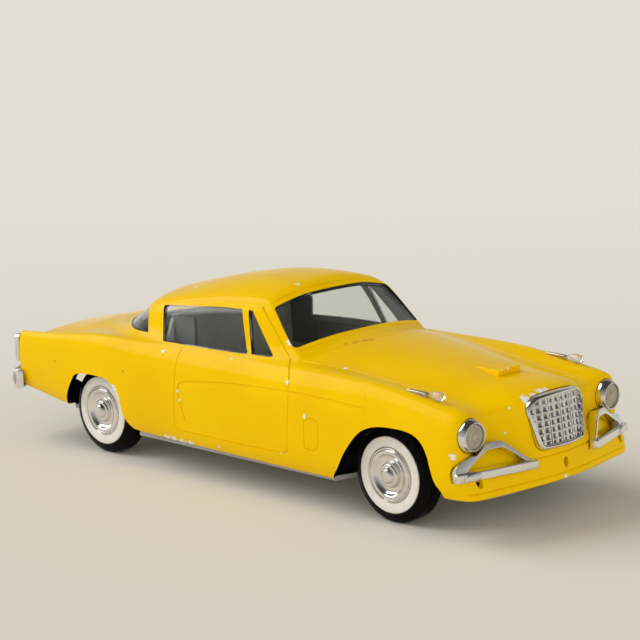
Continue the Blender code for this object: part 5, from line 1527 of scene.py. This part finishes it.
KNOB_PROFILE = [(0.0, -1.0), (1.0, -1.0), (1.0, 0.0), (0.94, 0.35), (0.77, 0.65), (0.5, 0.87), (0.26, 0.97),
                (0.0, 1.0)]
KNOB_SHARE = 0.81
KNOB_SIZE = (2.6, 1.45, 0.8, 1.0)
KNOB_SINK = 0.2
KNOB_STEPS = 32
CRACK_SHARES = (0.925, 0.93)
CRACK_FOOT = -1.0
CRACK_TOP = 9.0
CRACK_DEPTH = 0.35
ARCH_EDGE = 0.25
SIDE_SEAT_MARGIN = SEAT_GAP * 1.2
BAR_EDGE = 0.3


def flipped(outline, side):
    """Outline for a frame whose v axis points up on the left and down on the right."""
    return [(u, v * side) for u, v in outline]


def side_grille_seats(hand, side):
    leaning, upright, length = side_grille_frames(side)
    outline, _, bar = side_grille_shapes(length)
    bar_seat = flipped(grown(bar, SIDE_SEAT_MARGIN), side)
    arch_seat = flipped(grown(outline, SIDE_SEAT_MARGIN), side)
    return [
        prism("bar_seat_" + hand, bar_seat, -SIDE_GRILLE_BAR_DEPTH - SEAT_GAP, CUT_REACH, upright),
        prism("arch_seat_" + hand, arch_seat, -SIDE_GRILLE_DEPTH - SEAT_GAP, CUT_REACH, leaning),
    ]


def build_side_grille(hand, side, paints):
    """Arch over a flat bar with a knob and a crack near its outer end, notched behind for the headlamp."""
    leaning, upright, length = side_grille_frames(side)
    outline, hole, bar = side_grille_shapes(length)
    loop = prism("side_grille_plated_" + hand, flipped(outline, side), -SIDE_GRILLE_DEPTH, 0.0, leaning,
                 paints["chrome"])
    combine(loop, [prism("window_" + hand, flipped(hole, side), -FAR, FAR, leaning)], "DIFFERENCE")
    soften(loop, ARCH_EDGE, 3)
    lower = prism("bar_" + hand, flipped(bar, side), -SIDE_GRILLE_BAR_DEPTH, SIDE_GRILLE_BAR_LIP, upright)
    soften(lower, BAR_EDGE, 3)
    middle = (length * KNOB_SHARE, side * SIDE_GRILLE_BAR / 2, SIDE_GRILLE_BAR_LIP - KNOB_SINK)
    spot = upright @ Matrix.Translation(middle) @ Matrix.Diagonal(KNOB_SIZE)
    combine(loop, [lower, turned("knob_" + hand, KNOB_PROFILE, spot, KNOB_STEPS)], "UNION")
    start, end = (length * share for share in CRACK_SHARES)
    crack = [(start, CRACK_FOOT), (end, CRACK_FOOT), (end, CRACK_TOP), (start, CRACK_TOP)]
    gap = prism("crack_" + hand, flipped(crack, side), SIDE_GRILLE_BAR_LIP - CRACK_DEPTH, CUT_REACH, upright)
    combine(loop, [gap], "DIFFERENCE")
    reach = HEADLAMP_RADIUS + 2 * SEAT_GAP
    tip = HEADLAMP_LIP + 2 * SEAT_GAP
    notch = [(0.0, -FAR), (reach, -FAR), (reach, tip), (0.0, tip)]
    room = turned("lamp_notch_" + hand, notch, headlamp_frame(side), SOCKET_STEPS)
    combine(loop, [room], "DIFFERENCE")
    paint_with(loop, paints["chrome"])
    hand_over(loop, "car", ["side_grille_" + hand])


# Fender lamps, tail lamps and rear bumper.
STEM_HALF = 0.75
STEM_EDGE = 0.3
DROP_STEPS = 18
DROP_TURNS = 40
CORNER_STEPS = 8
TAIL_LAMP_SINK = 0.4
TAIL_LAMP_CORNER = 1.6
TAIL_LAMP_EDGE = 0.25
TAIL_POCKET_CORNER = 1.1
TAIL_LENS_GAP = 0.1
TAIL_LENS_CORNER = 1.0
TAIL_LENS_PROUD = 0.5
TAIL_LENS_EDGE = 0.45
BUMPER_EDGE = 0.9
BUMPER_GUARD_X = TAIL_X + 4.4
GUARD_STEPS = 12
GUARD_TURNS = 48


def drop_profile():
    """Teardrop as (radius, along) places, fullest near its front."""
    drop = [(0.0, 0.0)]
    for n in range(1, DROP_STEPS):
        t = n / DROP_STEPS
        drop.append((DROP_RADIUS * math.sin(math.pi * t ** 0.62) ** 0.8, DROP_LENGTH * t))
    return drop + [(0.0, DROP_LENGTH)]


def build_fender_lamp(hand, side, paints):
    y = side * SPEAR_Y
    back = SPEAR_FRONT_X - SPEAR_LENGTH
    reach = SPEAR_LENGTH - DROP_LENGTH - SEAT_GAP
    fall = CROWN_SLOPE * reach
    outline = [
        (back, SPEAR_Z - 0.6), (back + reach, SPEAR_Z - fall - 0.6), (back + reach, SPEAR_Z - fall + 1.1),
        (back + reach * 0.5, SPEAR_Z - fall / 2 + 0.8), (back, SPEAR_Z + 0.3),
    ]
    # The stem's amber plating is painted reflection of the yellow body.
    stem = prism("fender_lamp_stem_plated_" + hand, outline, -y - STEM_HALF, -y + STEM_HALF, ACROSS,
                 paints["stem"])
    soften(stem, STEM_EDGE, 4)
    hand_over(stem, "car", ["fender_lamp_stem_" + hand])
    tip_z = SPEAR_Z - CROWN_SLOPE * SPEAR_LENGTH + DROP_RADIUS
    place = axis_frame((SPEAR_FRONT_X, y, tip_z), (-1, 0, CROWN_SLOPE))
    lens = turned("fender_lamp_lens_clear_" + hand, drop_profile(), place, DROP_TURNS, paints["clear"])
    hand_over(lens, "car", ["fender_lamp_lens_" + hand], angle=60)


def slab_outline(half_u, half_v, corner):
    """Rectangle about the origin with rounded corners."""
    corners = [(-half_u, -half_v), (half_u, -half_v), (half_u, half_v), (-half_u, half_v)]
    return rounded(corners, corner, CORNER_STEPS)


def build_tail_lamp(hand, side, paints):
    fin_end = TAIL_PLAN(TAIL_LAMP_Y - TAIL_LAMP_WIDTH / 2) - SEAT_GAP / 2
    place = axis_frame((fin_end, side * TAIL_LAMP_Y, TAIL_LAMP_Z), (-1, 0, 0))
    half = TAIL_LAMP_HEIGHT / 2
    wide = TAIL_LAMP_WIDTH / 2
    tall = half - TAIL_LAMP_RIM
    narrow = wide - TAIL_LAMP_RIM
    outline = slab_outline(half, wide, TAIL_LAMP_CORNER)
    bezel = prism("tail_lamp_bezel_plated_" + hand, outline, -TAIL_LAMP_SINK, TAIL_LAMP_DEPTH, place,
                  paints["chrome"])
    outline = slab_outline(tall, narrow, TAIL_POCKET_CORNER)
    pocket = prism("tail_pocket_" + hand, outline, TAIL_LAMP_FLOOR, CUT_REACH, place)
    combine(bezel, [pocket], "DIFFERENCE")
    paint_with(soften(bezel, TAIL_LAMP_EDGE, 3), paints["chrome"])
    hand_over(bezel, "car", ["tail_lamp_bezel_" + hand])
    outline = slab_outline(tall - TAIL_LENS_GAP, narrow - TAIL_LENS_GAP, TAIL_LENS_CORNER)
    lens = prism("tail_lamp_lens_ribbed_" + hand, outline, TAIL_LAMP_FLOOR + TAIL_LENS_GAP,
                 TAIL_LAMP_DEPTH + TAIL_LENS_PROUD, place, paints["red"])
    soften(lens, TAIL_LENS_EDGE, 4)
    hand_over(lens, "car", ["tail_lamp_lens_" + hand])


def across_car(half):
    """Smooth path across the car from one half, given from the middle outwards as (x, y)."""
    return finer([(x, -y) for x, y in half[:0:-1]] + half, 2.0)


def guard_profile():
    """Bullet as (radius, along) places."""
    bullet = [(0.0, 0.0), (BUMPER_GUARD_RADIUS, 0.0)]
    for n in range(1, GUARD_STEPS):
        lean = math.pi / 2 * n / GUARD_STEPS
        bullet.append((BUMPER_GUARD_RADIUS * math.cos(lean), BUMPER_GUARD_LENGTH * math.sin(lean)))
    return bullet + [(0.0, BUMPER_GUARD_LENGTH)]


def build_rear_bumper(paints):
    """Bar that follows the tail in plan, with a bullet guard at each end."""
    outer = [(TAIL_X, 0.0), (TAIL_X + 0.5, 20.0), (TAIL_X + 1.6, W - 6.6), (TAIL_X + 3.4, W - 1.4),
             (TAIL_X + 7.0, W + 0.4)]
    inner = [(TAIL_PLAN(y) - SEAT_GAP, y) for y in (0.0, 20.0, W - 7.6, W - 1.8)] + [(TAIL_X + 9.0, W - 0.8)]
    outline = across_car(outer) + across_car(inner)[::-1]
    bar = prism("rear_bumper_plated", outline, BUMPER_Z, BUMPER_Z + BUMPER_HEIGHT, paint=paints["chrome"])
    soften(bar, BUMPER_EDGE, 5)
    guards = []
    for hand, side in HANDS:
        root = axis_frame((BUMPER_GUARD_X, side * BUMPER_GUARD_Y, BUMPER_Z + BUMPER_HEIGHT / 2), (-1, 0, 0))
        guards.append(turned("bumper_guard_" + hand, guard_profile(), root, GUARD_TURNS))
    combine(bar, guards, "UNION")
    paint_with(bar, paints["chrome"])
    hand_over(bar, "car", ["rear_bumper"])


# Wheels.
WHEEL_STEPS = 96
RECESS_RADIUS = WHITEWALL_RADIUS + 0.12
BORE_RADIUS = HUB_RADIUS + SEAT_GAP
TREAD_RIBS = 5
TREAD_START = 1.9
RIB_WIDTH = 0.62
TREAD_GROOVE = 0.34
TREAD_DEPTH = 0.5
TREAD_SLOPE = 0.05
# Cover from its back face out to the rim and in to the cap, as (radius, depth) places.
COVER_PROFILE = [
    (0.0, COVER_DEPTH), (HUB_RADIUS, COVER_DEPTH), (HUB_RADIUS, 0.1), (7.62, -0.08), (7.5, -0.12),
    (7.42, 0.15), (7.34, 0.15), (7.26, -0.1), (7.14, -0.12), (7.06, 0.06), (6.98, -0.1), (6.7, -0.2),
    (6.3, -0.24), (6.0, -0.16), (5.8, 0.05), (5.55, 0.5), (5.1, 0.9), (4.5, 1.08), (3.9, 1.08),
    (3.6, 0.95), (3.45, 0.6), (3.35, 0.0), (3.2, -0.4), (2.95, -0.6), (2.6, -0.62), (2.25, -0.55),
    (2.12, -0.75), (1.95, -1.2), (1.6, -1.5), (1.0, -1.65), (0.0, -1.7),
]


def tread_profile():
    """Ribbed tread, from the outer shoulder to the inner one."""
    points = []
    floor = TREAD_RADIUS - TREAD_DEPTH
    along = TREAD_START
    for n in range(TREAD_RIBS):
        points += [(TREAD_RADIUS, along), (TREAD_RADIUS, along + RIB_WIDTH)]
        along += RIB_WIDTH
        if n < TREAD_RIBS - 1:
            points += [(floor, along + TREAD_SLOPE), (floor, along + TREAD_GROOVE - TREAD_SLOPE)]
            along += TREAD_GROOVE
    return points


def tyre_profile():
    """Tyre from its bore over the outer wall, the tread and the inner wall."""
    floor = WHITEWALL_DEPTH + SEAT_GAP
    outer = [
        (BORE_RADIUS, floor), (RECESS_RADIUS, floor), (RECESS_RADIUS, 0.28), (RECESS_RADIUS + 0.2, 0.16),
        (RECESS_RADIUS + 0.6, 0.3), (TREAD_RADIUS - 1.5, 0.6), (TREAD_RADIUS - 0.8, 0.95),
        (TREAD_RADIUS - 0.75, 1.1), (TREAD_RADIUS - 0.5, 1.2), (TREAD_RADIUS - 0.15, 1.6),
    ]
    inner = [
        (TREAD_RADIUS - 0.4, TYRE_WIDTH - 1.0), (TREAD_RADIUS - 1.5, TYRE_WIDTH - 0.3),
        (RECESS_RADIUS, TYRE_WIDTH), (BORE_RADIUS, TYRE_WIDTH - 0.5),
    ]
    return outer + tread_profile() + inner


def whitewall_profile():
    """Ring with a crowned face and rounded edges."""
    inside = BORE_RADIUS - 0.2
    edge = WHITEWALL_RADIUS
    return [
        (inside, 0.3), (BORE_RADIUS, 0.14), (BORE_RADIUS + 0.5, 0.04), (9.4, 0.0), (edge - 0.35, 0.06),
        (edge - 0.08, 0.16), (edge, 0.34), (edge, WHITEWALL_DEPTH), (inside, WHITEWALL_DEPTH),
    ]


def build_wheel(place, axle_x, side, paints):
    body = place.split("_")[0] + "_axle"
    axes = wheel_frame(axle_x, side)
    tyre = turned("tyre_ribbed_" + place, tyre_profile(), axes, WHEEL_STEPS, paints["tyre"], True)
    hand_over(tyre, body, ["tyre_" + place], angle=30)
    profile = whitewall_profile()
    ring = turned("whitewall_ring_" + place, profile, axes, WHEEL_STEPS, paints["whitewall"], True)
    hand_over(ring, body, ["whitewall_" + place])
    cover = turned("wheel_cover_plated_" + place, COVER_PROFILE, axes, WHEEL_STEPS, paints["cover"])
    hand_over(cover, body, ["wheel_cover_" + place], angle=50)


# Stage.
FLOOR_SIZE = 12000.0
FLOOR_COLOUR = (0.84, 0.82, 0.745, 1.0)
FLOOR_SHADE = (0.825, 0.805, 0.73, 1.0)
# Painted shade: the floor darkens towards the camera.
FLOOR_NEAR_SHADE = (0.73, 0.685, 0.60, 1.0)
VIEW_RUN = (-0.693, 0.696, 0.0)
TENT_SIDE = (0.86, -0.51, 0.0)
TENT_FRONT = 2.08
TENT_BACK = 0.6
TENT_TOP = 0.2
TENT_REFLECTED = 0.48
KEY_FROM = (-0.75, -0.35, 0.75)
KEY_STRENGTH = 2.0
KEY_SPREAD = 50
CAMERA_PLACE = (0.422714, -0.416214, 0.158213)
CAMERA_YAW = 44.888
CAMERA_PITCH = 10.901
CAMERA_ROLL = -1.695
CAMERA_LENS = 112.467
SENSOR_WIDTH = 36.0
CLIP_START = 0.01


def build_floor():
    paint, tree, shader = new_material("floor_paper")
    cloud = spread(tree, noise(tree, 3.0, 3.0), 0.3, 0.7)
    far = measure(tree, "DOT_PRODUCT", places(tree), VIEW_RUN)
    colour = mix_colour(tree, cloud, FLOOR_COLOUR, FLOOR_SHADE)
    # Painted shade: darker towards the camera.
    colour = mix_colour(tree, spread(tree, far, -0.15, 0.6), FLOOR_NEAR_SHADE, colour)
    put(tree, shader, {"Base Color": colour, "Roughness": 0.85, "Specular IOR Level": 0.1})
    bm = bmesh.new()
    bmesh.ops.create_grid(bm, x_segments=8, y_segments=8, size=FLOOR_SIZE)
    floor = add_mesh("floor", bm, paint)
    floor.data.transform(Matrix.Scale(MM, 4))


def build_light():
    """Soft tent: bright low down on the camera's side, darker overhead, and a broad key from the left."""
    world = bpy.data.worlds.new("studio")
    world.use_nodes = True
    tree = world.node_tree
    aim = add(tree, "TexCoord").outputs["Generated"]
    rise = measure(tree, "DOT_PRODUCT", aim, (0.0, 0.0, 1.0))
    ahead = measure(tree, "DOT_PRODUCT", aim, TENT_SIDE)
    low = spread(tree, rise, 0.0, 0.85, 1.0, 0.0)
    side = spread(tree, ahead, -0.6, 0.8, TENT_BACK, TENT_FRONT)
    mirrored_side = spread(tree, ahead, -0.6, 0.8, TENT_BACK, TENT_REFLECTED)
    mirror = add(tree, "LightPath").outputs["Is Glossy Ray"]
    dimming = reckon(tree, "MULTIPLY", mirror, reckon(tree, "SUBTRACT", side, mirrored_side))
    side = reckon(tree, "SUBTRACT", side, dimming)
    top = spread(tree, mirror, 0.0, 1.0, TENT_TOP, TENT_TOP / 4)
    level = reckon(tree, "ADD", reckon(tree, "MULTIPLY", low, side), top)
    put(tree, tree.nodes["Background"], {"Color": (1.0, 0.985, 0.95, 1.0), "Strength": level})
    bpy.context.scene.world = world
    light = bpy.data.lights.new("key", "SUN")
    light.energy = KEY_STRENGTH
    light.angle = math.radians(KEY_SPREAD)
    lamp = bpy.data.objects.new("key", light)
    lamp.rotation_euler = (-Vector(KEY_FROM)).to_track_quat("-Z", "Y").to_euler()
    bpy.context.scene.collection.objects.link(lamp)


def build_camera():
    yaw = math.radians(CAMERA_YAW)
    pitch = math.radians(CAMERA_PITCH)
    roll = math.radians(CAMERA_ROLL)
    back = Vector((math.sin(yaw) * math.cos(pitch), -math.cos(yaw) * math.cos(pitch), math.sin(pitch)))
    level = Vector((math.cos(yaw), math.sin(yaw), 0.0))
    rise = back.cross(level)
    right = level * math.cos(roll) + rise * math.sin(roll)
    up = rise * math.cos(roll) - level * math.sin(roll)
    data = bpy.data.cameras.new("camera")
    data.lens = CAMERA_LENS
    data.sensor_width = SENSOR_WIDTH
    data.clip_start = CLIP_START
    camera = bpy.data.objects.new("camera", data)
    matrix = Matrix((right, up, back)).transposed().to_4x4()
    matrix.translation = Vector(CAMERA_PLACE)
    camera.matrix_world = matrix
    bpy.context.scene.collection.objects.link(camera)
    bpy.context.scene.camera = camera


def dress_solids(paints):
    """Materials for the solids that are shown as they are."""
    for name, thing in frame["nodes"].items():
        if name.startswith("wheel_hub"):
            paint_with(thing, paints["hub"])
        elif name.startswith("axle") or name.startswith("screw"):
            paint_with(thing, paints["steel"])
        elif name == "chassis_plate":
            paint_with(thing, paints["chassis"])


def main():
    bpy.context.scene.view_settings.view_transform = "Standard"
    paints = make_materials()
    build_camera()
    build_floor()
    build_light()
    build_body(paints)
    build_windows(paints)
    build_grille_frame(paints)
    build_grille_mesh(paints)
    build_rear_bumper(paints)
    for hand, side in HANDS:
        build_headlamp(hand, side, paints)
        build_side_grille(hand, side, paints)
        build_fender_lamp(hand, side, paints)
        build_tail_lamp(hand, side, paints)
    for place, axle_x in (("front", FRONT_AXLE_X), ("rear", REAR_AXLE_X)):
        for hand, side in HANDS:
            build_wheel(place + "_" + hand, axle_x, side, paints)
    dress_solids(paints)
    bpy.data.materials.remove(paints["cut_paint"])


main()
